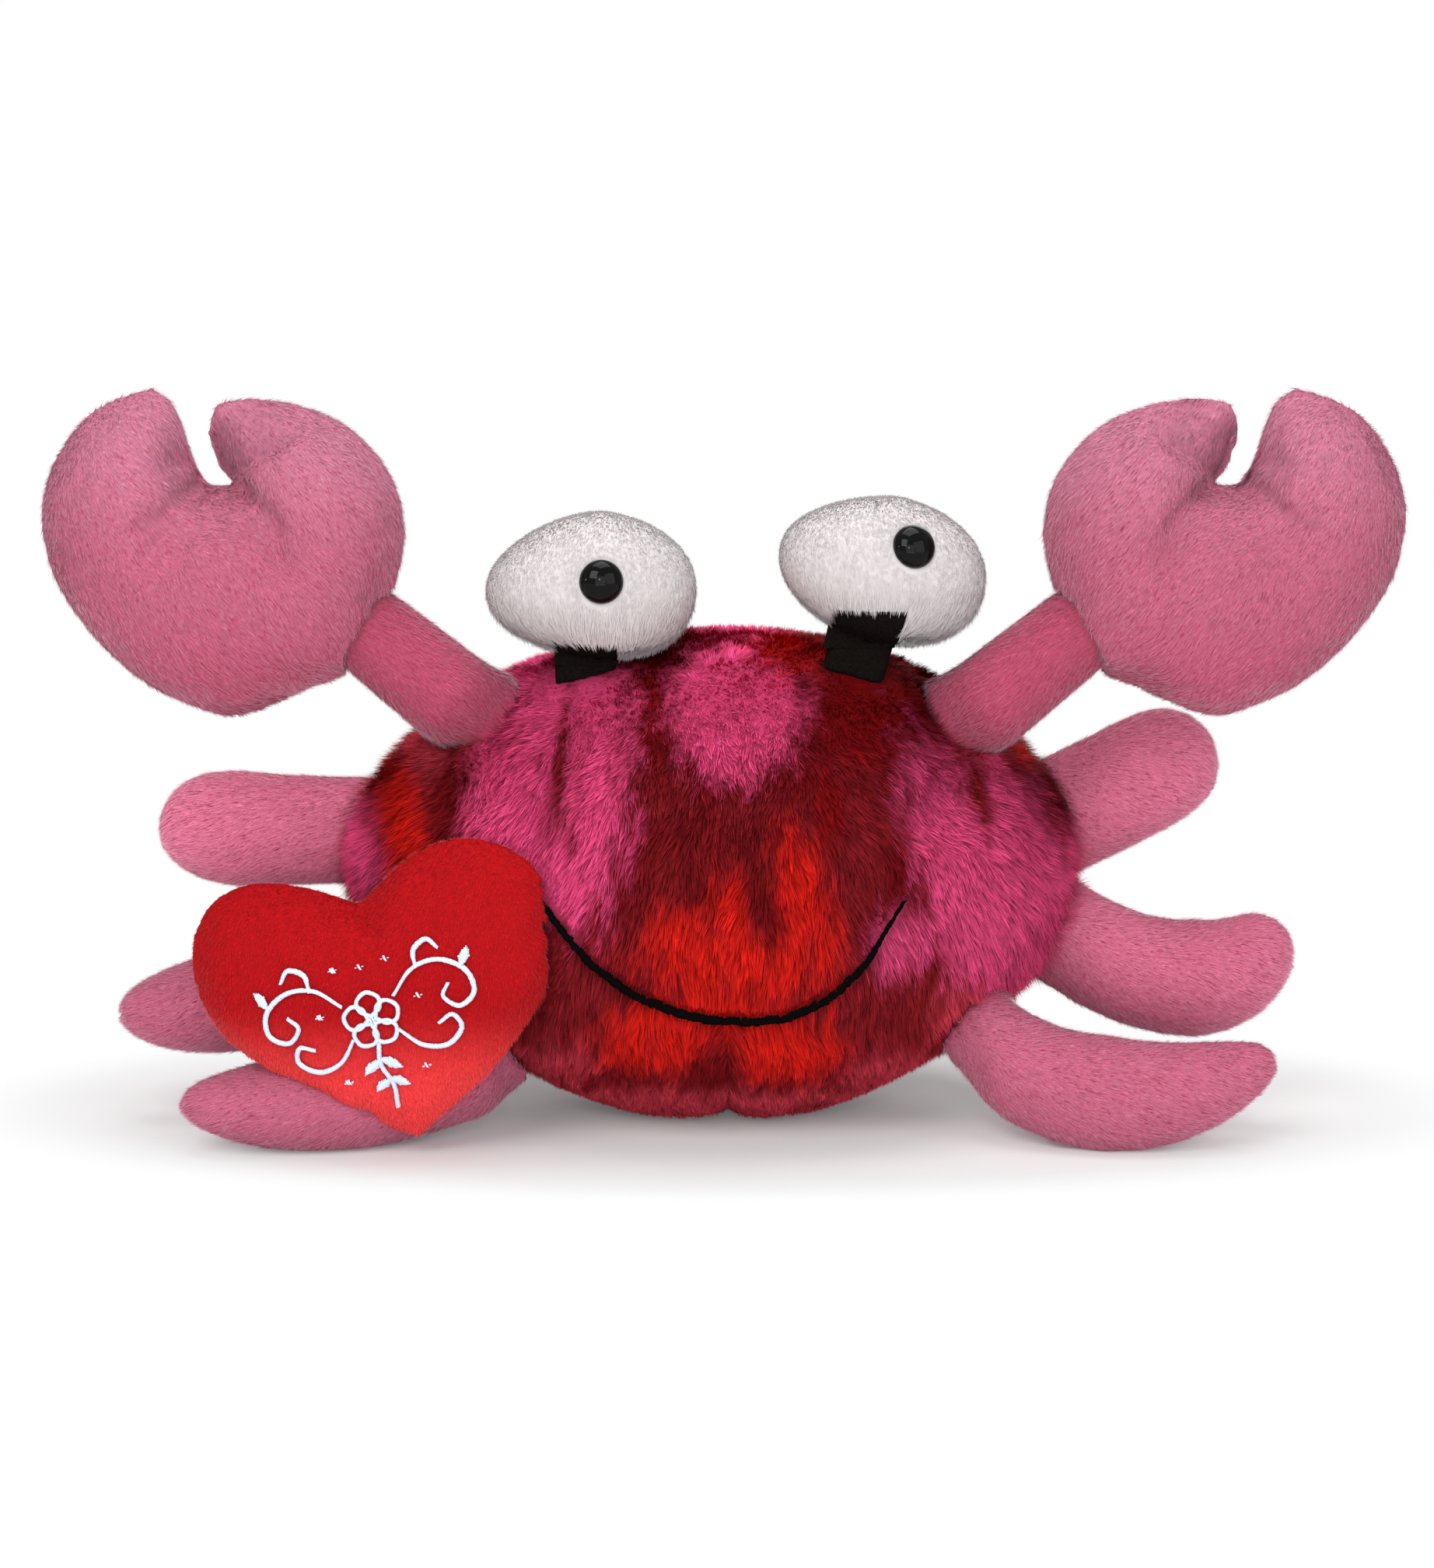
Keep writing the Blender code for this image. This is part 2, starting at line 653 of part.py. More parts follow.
def build_stalk(name, pose):
    foot, way, _ = eye_frame(pose)
    length = pose["stalk"] + 2 * STALK_SEAT_DEPTH
    start = foot - way * STALK_SEAT_DEPTH
    rings = STALK_STEPS + 1
    centres = [start + way * length * i / STALK_STEPS for i in range(rings)]
    bm = bmesh.new()
    loft(bm, centres, [STALK_WIDTH / 2] * rings, [STALK_THICKNESS / 2] * rings,
         FACES["front"], squareness=STALK_SQUARENESS)
    return finish_mesh(name, bm)


def pupil_frame(pose):
    """Matrix that puts the pupil's seat on the eye's skin, its dome pointing where it looks."""
    _, _, centre = eye_frame(pose)
    half = (EYE_WIDTH / 2, EYE_DEPTH / 2, EYE_HEIGHT / 2)
    roll = Matrix.Rotation(math.radians(-pose["roll"]), 3, "Y")
    look = Vector(pose["look"]).normalized()
    local = roll.inverted() @ look
    reach = sum((abs(d) / h) ** EYE_SQUARENESS for d, h in zip(local, half))
    seat = centre + look * (reach ** (-1.0 / EYE_SQUARENESS) - PUPIL_SINK)
    turn = look.to_track_quat("Z", "Y").to_matrix().to_4x4()
    return Matrix.Translation(seat) @ turn


def lathe(bm, profile, matrix):
    """Turn a profile of radius and height, listed from bottom to top, about the Z axis."""
    rings = []
    for radius, height in profile:
        if radius == 0.0:
            rings.append(bm.verts.new(matrix @ Vector((0, 0, height))))
            continue
        rings.append([bm.verts.new(matrix @ Vector((radius * math.cos(a), radius * math.sin(a),
                                                    height)))
                      for a in (2 * math.pi * i / LATHE_SEGMENTS
                                for i in range(LATHE_SEGMENTS))])
    if isinstance(rings[0], bmesh.types.BMVert):
        fan(bm, rings[1], rings[0])
        rings = rings[1:]
    if isinstance(rings[-1], bmesh.types.BMVert):
        fan(bm, rings[-2], rings[-1])
        rings = rings[:-1]
    stitch_rings(bm, rings)
    return rings


def pupil_profile():
    """Shank with its ribs, then rim and dome."""
    shank = SHANK_DIAMETER / 2
    rim = PUPIL_DIAMETER / 2
    profile = [(0.0, -SHANK_LENGTH), (shank, -SHANK_LENGTH)]
    rib_top = -SHANK_LENGTH + SHANK_RIB_PITCH
    while rib_top < -SHANK_RIB_PITCH:
        profile.append((shank, rib_top - SHANK_RIB_PITCH / 3))
        profile.append((shank + SHANK_RIB_HEIGHT, rib_top))
        profile.append((shank, rib_top))
        rib_top += SHANK_RIB_PITCH
    profile += [(shank, 0.0), (rim, 0.0), (rim, PUPIL_RIM_HEIGHT)]
    dome = PUPIL_DOME_HEIGHT - PUPIL_RIM_HEIGHT
    for step in range(1, DOME_STEPS):
        angle = math.pi / 2 * step / DOME_STEPS
        profile.append((rim * math.cos(angle), PUPIL_RIM_HEIGHT + dome * math.sin(angle)))
    profile.append((0.0, PUPIL_DOME_HEIGHT))
    return profile


def build_pupil(name, pose):
    bm = bmesh.new()
    lathe(bm, pupil_profile(), pupil_frame(pose))
    return finish_mesh(name, bm, sharp_angle=40.0)


def washer_bore():
    return SHANK_DIAMETER / 2 + SHANK_RIB_HEIGHT + CLEARANCE


def build_washer(name, pose):
    """Flat ring with a hole, pushed on to the shank inside the eye."""
    low = -WASHER_DEPTH - WASHER_THICKNESS
    profile = [(washer_bore(), low), (WASHER_DIAMETER / 2, low),
               (WASHER_DIAMETER / 2, -WASHER_DEPTH), (washer_bore(), -WASHER_DEPTH)]
    bm = bmesh.new()
    rings = lathe(bm, profile, pupil_frame(pose))
    stitch_rings(bm, [rings[-1], rings[0]])
    return finish_mesh(name, bm, sharp_angle=40.0)


def build_pupil_pocket(name, pose):
    """Cutter for the space that the pupil, its shank and the washer take in the eye."""
    outer = WASHER_DIAMETER / 2 + CLEARANCE
    shank = washer_bore()
    rim = PUPIL_DIAMETER / 2 + CLEARANCE
    low = -WASHER_DEPTH - WASHER_THICKNESS - CLEARANCE
    high = -WASHER_DEPTH + CLEARANCE
    profile = [(0.0, -SHANK_LENGTH - CLEARANCE), (shank, -SHANK_LENGTH - CLEARANCE),
               (shank, low), (outer, low), (outer, high), (shank, high),
               (shank, -CLEARANCE), (rim, -CLEARANCE), (rim, PUPIL_DOME_HEIGHT),
               (0.0, PUPIL_DOME_HEIGHT)]
    bm = bmesh.new()
    lathe(bm, profile, pupil_frame(pose))
    return as_cutter(finish_mesh(name, bm))


# The smile

def build_mouth(body):
    """Round bead of stitching that follows the smile over the body's skin."""
    tree = BVHTree.FromPolygons([v.co for v in body.data.vertices],
                                [p.vertices for p in body.data.polygons])
    lift = MOUTH_BEAD / 2 + CLEARANCE
    centres, outwards = [], []
    for i in range(MOUTH_POINTS + 1):
        x, z = mouth_line(2 * i / MOUTH_POINTS - 1)
        hit, normal, _, _ = tree.ray_cast(Vector((x, -BODY_FRONT * 2, z)), Vector((0, 1, 0)))
        centres.append(hit + normal * lift)
        outwards.append(normal)
    bm = bmesh.new()
    rings = []
    for i, centre in enumerate(centres):
        tangent = (centres[min(i + 1, MOUTH_POINTS)] - centres[max(i - 1, 0)]).normalized()
        across = tangent.cross(outwards[i]).normalized()
        out = across.cross(tangent)
        ring = []
        for k in range(MOUTH_SIDES):
            angle = 2 * math.pi * k / MOUTH_SIDES
            offset = across * math.cos(angle) + out * math.sin(angle)
            ring.append(bm.verts.new(centre + offset * MOUTH_BEAD / 2))
        rings.append(ring)
    stitch_rings(bm, rings)
    bm.faces.new(rings[0])
    bm.faces.new(rings[-1])
    return finish_mesh("mouth", bm)


def build_crab():
    clear_scene()
    body = build_body()
    paint(body, CRIMSON, 0.9)
    body_space = clearance_copy(body)

    paint(build_mouth(body), BLACK, 0.8)

    for side_name, side in (("left", -1), ("right", 1)):
        arm = build_arm("arm_" + side_name, side)
        paint(arm, PINK, 0.85)
        claw = build_claw("claw_" + side_name, side)
        paint(claw, PINK, 0.85)
        cut(claw, clearance_copy(arm))
        cut(arm, body_space)

    leg_space = {}
    for name, pose in LEGS.items():
        leg = build_leg(name, pose)
        paint(leg, PINK, 0.85)
        cut(leg, body_space)
        if name == "leg_lower_left":
            leg_space[name] = clearance_copy(leg)

    heart = build_heart()
    paint(heart, RED, 0.85)
    cut(heart, body_space, leg_space["leg_lower_left"])

    for side_name, pose in EYES.items():
        eyeball = build_eyeball("eyeball_" + side_name, pose)
        paint(eyeball, WHITE, 0.9)
        stalk = build_stalk("eye_stalk_" + side_name, pose)
        paint(stalk, BLACK, 0.95)
        cut(stalk, body_space, clearance_copy(eyeball))
        cut(eyeball, body_space, build_pupil_pocket("pupil_pocket_" + side_name, pose))
        paint(build_pupil("pupil_" + side_name, pose), BLACK, 0.08)
        paint(build_washer("pupil_washer_" + side_name, pose), CLEAR_NYLON, 0.4)


build_crab()
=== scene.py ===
"""Looks of the plush crab: long dyed fur, short nap, felt, thread and plastic over its solids.

Metres, +Z up. The crab faces -Y, and left is -X, as seen from the front.
"""

import math

import bmesh
import bpy
import numpy as np
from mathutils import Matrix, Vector
from mathutils.bvhtree import BVHTree
from mathutils.kdtree import KDTree


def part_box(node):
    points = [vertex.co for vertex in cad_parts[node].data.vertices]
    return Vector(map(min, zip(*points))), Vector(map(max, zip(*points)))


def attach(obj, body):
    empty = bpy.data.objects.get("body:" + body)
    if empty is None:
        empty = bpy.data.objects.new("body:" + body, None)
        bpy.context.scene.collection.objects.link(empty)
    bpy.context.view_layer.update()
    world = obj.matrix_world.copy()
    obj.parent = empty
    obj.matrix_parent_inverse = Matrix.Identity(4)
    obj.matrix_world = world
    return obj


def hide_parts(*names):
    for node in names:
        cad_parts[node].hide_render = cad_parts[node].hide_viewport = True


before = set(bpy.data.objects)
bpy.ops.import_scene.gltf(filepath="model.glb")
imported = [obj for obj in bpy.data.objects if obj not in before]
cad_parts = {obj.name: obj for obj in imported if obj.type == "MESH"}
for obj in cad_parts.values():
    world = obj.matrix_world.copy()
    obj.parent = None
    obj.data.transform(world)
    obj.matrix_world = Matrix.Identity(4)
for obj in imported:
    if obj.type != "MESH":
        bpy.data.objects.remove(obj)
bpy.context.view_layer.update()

MM = 0.001
TINY = 1e-12

# Photograph's camera
CAMERA_PLACE = (-0.0017, -0.8907, 0.2374)
CAMERA_PITCH = 10.0
CAMERA_LENS = 85.0
CAMERA_SENSOR = 36.0
CAMERA_END = 20.0

# Colours, linear
DEEP_CRIMSON = (0.18, 0.005, 0.0075)
WINE = (0.24, 0.011, 0.0165)
ROSE = (0.62, 0.048, 0.078)
DEEP_RED = (0.26, 0.005, 0.007)
ORANGE_RED = (0.72, 0.014, 0.009)
HOT_PINK = (0.93, 0.08, 0.25)
SOFT_PINK = (0.77, 0.072, 0.215)
NAP_PINK = (0.58, 0.156, 0.255)
# Painted light and shade: the claws' pink, shaded low down, half lit, and lit at the top
CLAW_SHADED_PINK = (0.575, 0.102, 0.195)
CLAW_HALF_LIT_PINK = (0.53, 0.143, 0.23)
CLAW_LIT_PINK = (0.59, 0.22, 0.33)
# Painted shade: a darker copy of the nap's pink for the arms
ARM_SHADED_PINK = (0.47, 0.082, 0.152)
# Painted shade: the dark of the partings between fibres, and of the backing seen between them
NAP_GAP_SHADE = (0.32, 0.024, 0.06)
HEART_RED = (0.465, 0.0065, 0.0098)
# Painted light: the lighter red of the heart's lower tip
HEART_LIT_TIP_RED = (0.94, 0.057, 0.06)
EYE_WHITE = (0.54, 0.503, 0.503)
FELT_BLACK = (0.005, 0.004, 0.0035)
THREAD_BLACK = (0.003, 0.0025, 0.0025)
THREAD_WHITE = (0.56, 0.64, 0.79)
PLASTIC_BLACK = (0.003, 0.003, 0.003)
NYLON = (0.7, 0.7, 0.67)

LEGS = [f"leg_{row}_{side}" for row in ("upper", "middle", "lower") for side in ("left", "right")]
SIDES = {"left": -1.0, "right": 1.0}
ACROSS = np.array((0.0, 1.0, 0.0))
UPWARD = np.array((0.0, 0.0, 1.0))


# Small helpers


def unit(vectors):
    """Each row at length 1."""
    size = np.linalg.norm(vectors, axis=-1, keepdims=True)
    return vectors / np.maximum(size, TINY)


def smoothstep(low, high, value):
    """0 below low, 1 above high, and a soft turn between."""
    share = np.clip((value - low) / (high - low), 0.0, 1.0)
    return share * share * (3.0 - 2.0 * share)


WAVE_COUNT = 7
WAVE_LENGTHS = (0.7, 1.5)
WAVE_PEAK = 1.6


def waves(points, length, seed):
    """A smooth random number from -1 to 1 at each point, that turns over about this length."""
    rng = np.random.default_rng(seed)
    ways = unit(rng.normal(size=(WAVE_COUNT, 3)))
    pitch = 2 * math.pi / (length * rng.uniform(*WAVE_LENGTHS, WAVE_COUNT))
    phase = rng.uniform(0.0, 2 * math.pi, WAVE_COUNT)
    total = np.sin((points @ ways.T) * pitch + phase).sum(axis=1)
    return np.clip(total / math.sqrt(WAVE_COUNT), -WAVE_PEAK, WAVE_PEAK) / WAVE_PEAK


def wavering(points, length, seed):
    """Three such numbers at each point, as a vector."""
    return np.stack([waves(points, length, seed + axis) for axis in range(3)], axis=1)


def mix(first, second, share):
    """From the first colour to the second by each point's share."""
    share = np.atleast_1d(share)[:, None]
    return np.asarray(first) * (1 - share) + np.asarray(second) * share


def corners_of(mesh):
    """The mesh's points, triangles and point normals."""
    mesh.calc_loop_triangles()
    points = np.empty(len(mesh.vertices) * 3, np.float32)
    mesh.vertices.foreach_get("co", points)
    triangles = np.empty(len(mesh.loop_triangles) * 3, np.int32)
    mesh.loop_triangles.foreach_get("vertices", triangles)
    normals = np.empty(len(mesh.vertices) * 3, np.float32)
    mesh.vertex_normals.foreach_get("vector", normals)
    return (
        points.reshape(-1, 3).astype(float),
        triangles.reshape(-1, 3),
        normals.reshape(-1, 3).astype(float),
    )


def points_of(piece):
    """The points of the piece's mesh."""
    return corners_of(piece.data)[0]


def new_object(name, data):
    """An object with this data, in the scene."""
    thing = bpy.data.objects.new(name, data)
    bpy.context.scene.collection.objects.link(thing)
    return thing


def add_piece(name, mesh, material):
    """An object with this mesh, that rides on the crab and takes its finish from a slot."""
    piece = new_object(name, mesh)
    mesh.materials.clear()
    mesh.materials.append(material)
    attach(piece, "root")
    return piece


def add_surface(name, points, faces, material):
    """A smooth piece from its points and faces."""
    mesh = bpy.data.meshes.new(name)
    mesh.from_pydata([tuple(p) for p in points], [], faces)
    mesh.shade_smooth()
    return add_piece(name, mesh, material)


def colour_points(mesh, colours):
    """Gives each point of the mesh its dye."""
    layer = mesh.color_attributes.new("Dye", "FLOAT_COLOR", "POINT")
    rgba = np.ones((len(mesh.vertices), 4), np.float32)
    rgba[:, :3] = colours
    layer.data.foreach_set("color", rgba.ravel())


def tree_of(*pieces):
    """A search tree of the surfaces of these pieces."""
    points, faces = [], []
    for piece in pieces:
        own, triangles, _ = corners_of(piece.data)
        faces.extend((triangles + len(points)).tolist())
        points.extend(own.tolist())
    return BVHTree.FromPolygons(points, faces)


def near(tree, points, reach):
    """Which points lie within reach of the surfaces in the tree."""
    return np.array([tree.find_nearest(p, reach)[0] is not None for p in points.tolist()], bool)


SLIDE_SHARE = 0.8
SLIDE_LIFT = 0.0007


def fibre_rays(roots, tips):
    """Each fibre as its root, its way and its length."""
    runs = tips - roots
    sizes = np.linalg.norm(runs, axis=1)
    ways = runs / np.maximum(sizes, TINY)[:, None]
    return zip(roots.tolist(), ways.tolist(), sizes.tolist())


def slide(tree, roots, tips):
    """Tips of fibres that meet a piece in the tree slide along it instead of going in."""
    slid = tips.copy()
    for i, (root, way, size) in enumerate(fibre_rays(roots, tips)):
        place, facing, _, distance = tree.ray_cast(root, way, size)
        if place is None:
            continue
        left = Vector(way) * (size - distance)
        left = left - facing * left.dot(facing)
        slid[i] = place + left * SLIDE_SHARE + facing * SLIDE_LIFT
    return slid


FRONT_OF_ALL = -0.2


def met_from_front(tree, x, z):
    """The place on the tree's surfaces that is seen from the front here, and its normal."""
    place, facing, _, _ = tree.ray_cast(Vector((x, FRONT_OF_ALL, z)), Vector((0, 1, 0)))
    return place, facing


def crosses(tree, roots, tips):
    """Which fibres pass through a surface in the tree."""
    return np.array([tree.ray_cast(*ray)[0] is not None for ray in fibre_rays(roots, tips)])


# Materials


def new_material(name, roughness, specular=0.03):
    """A material with its node tree and its shader."""
    material = bpy.data.materials.new(name)
    material.use_nodes = True
    shader = material.node_tree.nodes["Principled BSDF"]
    shader.inputs["Roughness"].default_value = roughness
    shader.inputs["Specular IOR Level"].default_value = specular
    return material, material.node_tree, shader


def add_node(tree, kind, operation=None):
    """A shader node of this kind, with its operation."""
    node = tree.nodes.new("ShaderNode" + kind)
    if operation:
        node.operation = operation
    return node


def noise_node(tree, scale, detail):
    """Noise in the object's own space, finer as scale rises."""
    place = add_node(tree, "TexCoord")
    noise = add_node(tree, "TexNoise")
    noise.inputs["Scale"].default_value = scale
    noise.inputs["Detail"].default_value = detail
    tree.links.new(place.outputs["Object"], noise.inputs["Vector"])
    return noise


def add_bump(tree, shader, height, strength, distance):
    """Roughens the shading by a height."""
    bump = add_node(tree, "Bump")
    bump.inputs["Strength"].default_value = strength
    bump.inputs["Distance"].default_value = distance
    tree.links.new(height, bump.inputs["Height"])
    tree.links.new(bump.outputs["Normal"], shader.inputs["Normal"])


def vary_colour(tree, shader, colour, noise, low, high):
    """The colour, darker and lighter by the noise."""
    ramp = add_node(tree, "MapRange")
    ramp.inputs["To Min"].default_value = low
    ramp.inputs["To Max"].default_value = high
    scaled = add_node(tree, "VectorMath", "SCALE")
    tree.links.new(noise.outputs["Fac"], ramp.inputs["Value"])
    tree.links.new(colour, scaled.inputs[0])
    tree.links.new(ramp.outputs["Result"], scaled.inputs["Scale"])
    tree.links.new(scaled.outputs["Vector"], shader.inputs["Base Color"])


def dye_source(tree):
    """The colour that the mesh carries."""
    dye = add_node(tree, "Attribute")
    dye.attribute_name = "Dye"
    return dye.outputs["Color"]


def flat_source(tree, colour):
    """One colour, as a node's output."""
    flat = add_node(tree, "RGB")
    flat.outputs[0].default_value = (*colour, 1.0)
    return flat.outputs[0]


# Piles: roughness, sheen and the sheen's tint
PILES = {
    "body_fur": (0.75, 0.0, (1.0, 1.0, 1.0)),
    "limb_nap": (0.7, 0.8, (1.0, 0.76, 0.88)),
    "heart_nap": (0.65, 0.3, (1.0, 0.5, 0.5)),
    "eye_nap": (0.8, 0.8, (1.0, 1.0, 1.0)),
}
SHEEN_ROUGHNESS = 0.5
PILE_GRAIN = (900.0, 2.0)
PILE_SHADES = (0.9, 1.1)


def pile_material(name):
    """Fibres: dyed in the piece, with small changes of shade along the cloth."""
    roughness, sheen, tint = PILES[name]
    material, tree, shader = new_material(name, roughness)
    if sheen:
        shader.inputs["Sheen Weight"].default_value = sheen
        shader.inputs["Sheen Roughness"].default_value = SHEEN_ROUGHNESS
        shader.inputs["Sheen Tint"].default_value = (*tint, 1.0)
    vary_colour(tree, shader, dye_source(tree), noise_node(tree, *PILE_GRAIN), *PILE_SHADES)
    return material


CLOTH_ROUGHNESS = 0.9
CLOTH_GRAIN = (1500.0, 3.0)
CLOTH_LIGHTEST = 1.05
CLOTH_BUMP = 0.0004


def cloth_material(name, darkest, strength):
    """The knitted backing that shows between the fibres."""
    material, tree, shader = new_material(name, CLOTH_ROUGHNESS)
    noise = noise_node(tree, *CLOTH_GRAIN)
    vary_colour(tree, shader, dye_source(tree), noise, darkest, CLOTH_LIGHTEST)
    add_bump(tree, shader, noise.outputs["Fac"], strength, CLOTH_BUMP)
    return material


# Surfaces of one colour: scale and detail of the grain, darkest and lightest, bump and its depth
GRAINS = {
    "felt": (1400.0, 6.0, 0.4, 2.2, 0.9, 0.0005),
    "thread": (2600.0, 3.0, 0.82, 1.12, 0.35, 0.00015),
    "plastic": (420.0, 4.0, 0.8, 1.2, 0.03, 0.00003),
}
# Their kind of grain, colour, roughness and specular level
GRAINED = {
    "black_felt": ("felt", FELT_BLACK, 1.0, 0.0),
    "polished_plastic": ("plastic", PLASTIC_BLACK, 0.06, 0.12),
    "washer_nylon": ("plastic", NYLON, 0.45, 0.4),
    "white_thread": ("thread", THREAD_WHITE, 0.45, 0.3),
    "black_thread": ("thread", THREAD_BLACK, 1.0, 0.0),
}


def grained_material(name):
    """One colour with the grain of pressed felt, twisted thread or moulded plastic."""
    kind, colour, roughness, specular = GRAINED[name]
    scale, detail, low, high, strength, depth = GRAINS[kind]
    material, tree, shader = new_material(name, roughness, specular)
    noise = noise_node(tree, scale, detail)
    vary_colour(tree, shader, flat_source(tree, colour), noise, low, high)
    add_bump(tree, shader, noise.outputs["Fac"], strength, depth)
    return material


# Skins: the sewn cloth, stuffed


def bake_modifiers(piece):
    """Keeps what the modifiers make of the piece, and takes them off it."""
    graph = bpy.context.evaluated_depsgraph_get()
    mesh = bpy.data.meshes.new_from_object(piece.evaluated_get(graph))
    piece.modifiers.clear()
    old = piece.data
    piece.data = mesh
    bpy.data.meshes.remove(old)


# Each round of smoothing shrinks by the first factor and swells back by the second
SOFTEN = 0.6
SOFTEN_BACK = 0.62
ROUND_OFF = 0.5


# How each kind of skin is made: mesh size, rounds of smoothing, plain rounds, and swelling
SKINS = {
    "body": (0.002, 20, 3, 0.0),
    "claw": (0.0013, 14, 10, 0.00045),
    "limb": (0.0014, 8, 3, 0.00035),
    "eye": (0.0013, 8, 3, 0.0),
    "stalk": (0.0007, 3, 3, 0.0),
    "heart": (0.001, 8, 8, 0.0003),
}


def build_skin(node, kind):
    """The node's form as fine, even cloth."""
    voxel, rounds, rounded, swell = SKINS[kind]
    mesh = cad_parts[node].data.copy()
    mesh.materials.clear()
    skin = new_object(node + "_skin", mesh)
    remesh = skin.modifiers.new("even", "REMESH")
    remesh.mode = "VOXEL"
    remesh.voxel_size = voxel
    for _ in range(rounds):
        for factor in (SOFTEN, -SOFTEN_BACK):
            soften = skin.modifiers.new("soften", "SMOOTH")
            soften.factor = factor
            soften.iterations = 1
    plain = skin.modifiers.new("rounded", "SMOOTH")
    plain.factor = ROUND_OFF
    plain.iterations = rounded
    bake_modifiers(skin)
    skin.data.shade_smooth()
    _, _, normals = corners_of(skin.data)
    move_points(skin, normals * swell)
    return skin


def move_points(skin, shifts):
    """Moves each point of the skin by its own shift."""
    points = points_of(skin)
    skin.data.vertices.foreach_set("co", (points + shifts).astype(np.float32).ravel())
    skin.data.update()


def line_distance(points, line):
    """How far each point lies from a line of points."""
    least = np.full(len(points), np.inf)
    for start, end in zip(line[:-1], line[1:]):
        start = np.array(start)
        run = np.array(end) - start
        share = np.clip(((points - start) @ run) / (run @ run), 0.0, 1.0)
        least = np.minimum(least, np.linalg.norm(points - start - share[:, None] * run, axis=1))
    return least


def line_share(points, line, width):
    """1 on the line, and less and less over this width from it."""
    return np.exp(-((line_distance(points, line) / width) ** 2))


def press_line(skin, line, depth, width):
    """Draws the cloth in along a line, as a fold does."""
    points, _, normals = corners_of(skin.data)
    move_points(skin, -normals * (line_share(points, line, width) * depth)[:, None])


def seam_share(normals, face, width):
    """1 on the seam between the panels that look to both sides of a face, 0 off it."""
    return np.exp(-(((normals @ face) / width) ** 2))


SEAM_SPREAD = 0.07
SEAM_DEPTH = 0.0005


def press_seam(skin, face):
    """Draws the cloth in along the seam between its two panels."""
    _, _, normals = corners_of(skin.data)
    share = seam_share(normals, face, SEAM_SPREAD)
    move_points(skin, -normals * (share * SEAM_DEPTH)[:, None])


STUFFING_STEPS = 18
STUFFING_PRESSURE = 40.0
STUFFING_CAP = 0.0014
STUFFING_PIN = 0.16


def stuff(skin, face):
    """Cloth pass: filling presses the panels outwards between their sewn edges."""
    before, _, normals = corners_of(skin.data)
    sewn = np.flatnonzero(np.abs(normals @ face) < STUFFING_PIN)
    group = skin.vertex_groups.new(name="sewn")
    group.add(sewn.tolist(), 1.0, "REPLACE")
    puff = skin.modifiers.new("stuffing", "CLOTH")
    puff.settings.vertex_group_mass = "sewn"
    puff.settings.use_pressure = True
    puff.settings.uniform_pressure_force = STUFFING_PRESSURE
    puff.settings.effector_weights.gravity = 0.0
    puff.point_cache.frame_start = 1
    puff.point_cache.frame_end = STUFFING_STEPS
    for step in range(1, STUFFING_STEPS + 1):
        bpy.context.scene.frame_set(step)
    graph = bpy.context.evaluated_depsgraph_get()
    after = points_of(skin.evaluated_get(graph))
    skin.modifiers.clear()
    skin.vertex_groups.clear()
    bpy.context.scene.frame_set(1)
    shifts = after - before
    size = np.linalg.norm(shifts, axis=1, keepdims=True)
    move_points(skin, shifts * np.minimum(1.0, STUFFING_CAP / np.maximum(size, TINY)))


TUCK_REACH = 0.021


def tuck_in(skin, inwards, depth, back):
    """Draws a limb's sewn end out of the body's fur, and back against the body."""
    points = points_of(skin)
    inwards = unit(np.array(inwards, float))
    along = points @ inwards
    share = smoothstep(along.max() - TUCK_REACH, along.max(), along)[:, None]
    move_points(skin, share * (ACROSS * back - inwards * depth))


def finish_skin(skin, colours, material, node):
    """Sets the skin up as the piece that stands for its node."""
    colour_points(skin.data, colours)
    skin.data.materials.clear()
    skin.data.materials.append(material)
    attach(skin, "root")
    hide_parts(node)


# Pile: each fibre is one long thin leaf

FIBRE_TWIST = 0.25
FIBRE_RUFFLE = 0.36
CLOTH_SHADING = 0.78
TUFT_PULLS = (0.4, 1.2)
LIFT_LIMITS = (5.0, 85.0)
# Each piece's own random numbers start from these
SEEDS = {
    "claw_left": 100, "claw_right": 200, "eyeball_left": 300, "eyeball_right": 330,
    "arm_left": 400, "arm_right": 430, "heart": 800,
    **{node: 500 + 30 * number for number, node in enumerate(LEGS)},
    "body": 7, "body_lift": 8, "body_dye": 9, "body_tufts": 12, "body_ruffle": 71, "body_backing": 5,
}


def scatter(skin, count, rng):
    """Points spread over the skin by area, with their normals."""
    points, triangles, normals = corners_of(skin.data)
    a, b, c = (points[triangles[:, i]] for i in range(3))
    area = np.linalg.norm(np.cross(b - a, c - a), axis=1)
    picked = np.searchsorted(np.cumsum(area) / area.sum(), rng.random(count))
    picked = np.minimum(picked, len(triangles) - 1)
    u, v = rng.random(count), rng.random(count)
    over = u + v > 1
    u[over], v[over] = 1 - u[over], 1 - v[over]
    weights = np.stack([1 - u - v, u, v], axis=1)
    corner = triangles[picked]
    roots = (points[corner] * weights[:, :, None]).sum(axis=1)
    facing = unit((normals[corner] * weights[:, :, None]).sum(axis=1))
    return roots, facing


def lay(normals, ways):
    """The ways, laid flat on the cloth."""
    flat = ways - normals * (ways * normals).sum(axis=1, keepdims=True)
    return unit(flat)


def grow(roots, normals, ways, lengths, lift, spread, seed):
    """The tips of fibres that lean along their ways and rise by lift, in degrees."""
    rng = np.random.default_rng(seed)
    angle = np.radians(np.clip(rng.normal(lift, spread, len(roots)), *LIFT_LIMITS))[:, None]
    rise = ways * np.cos(angle) + normals * np.sin(angle)
    return roots + rise * lengths[:, None]


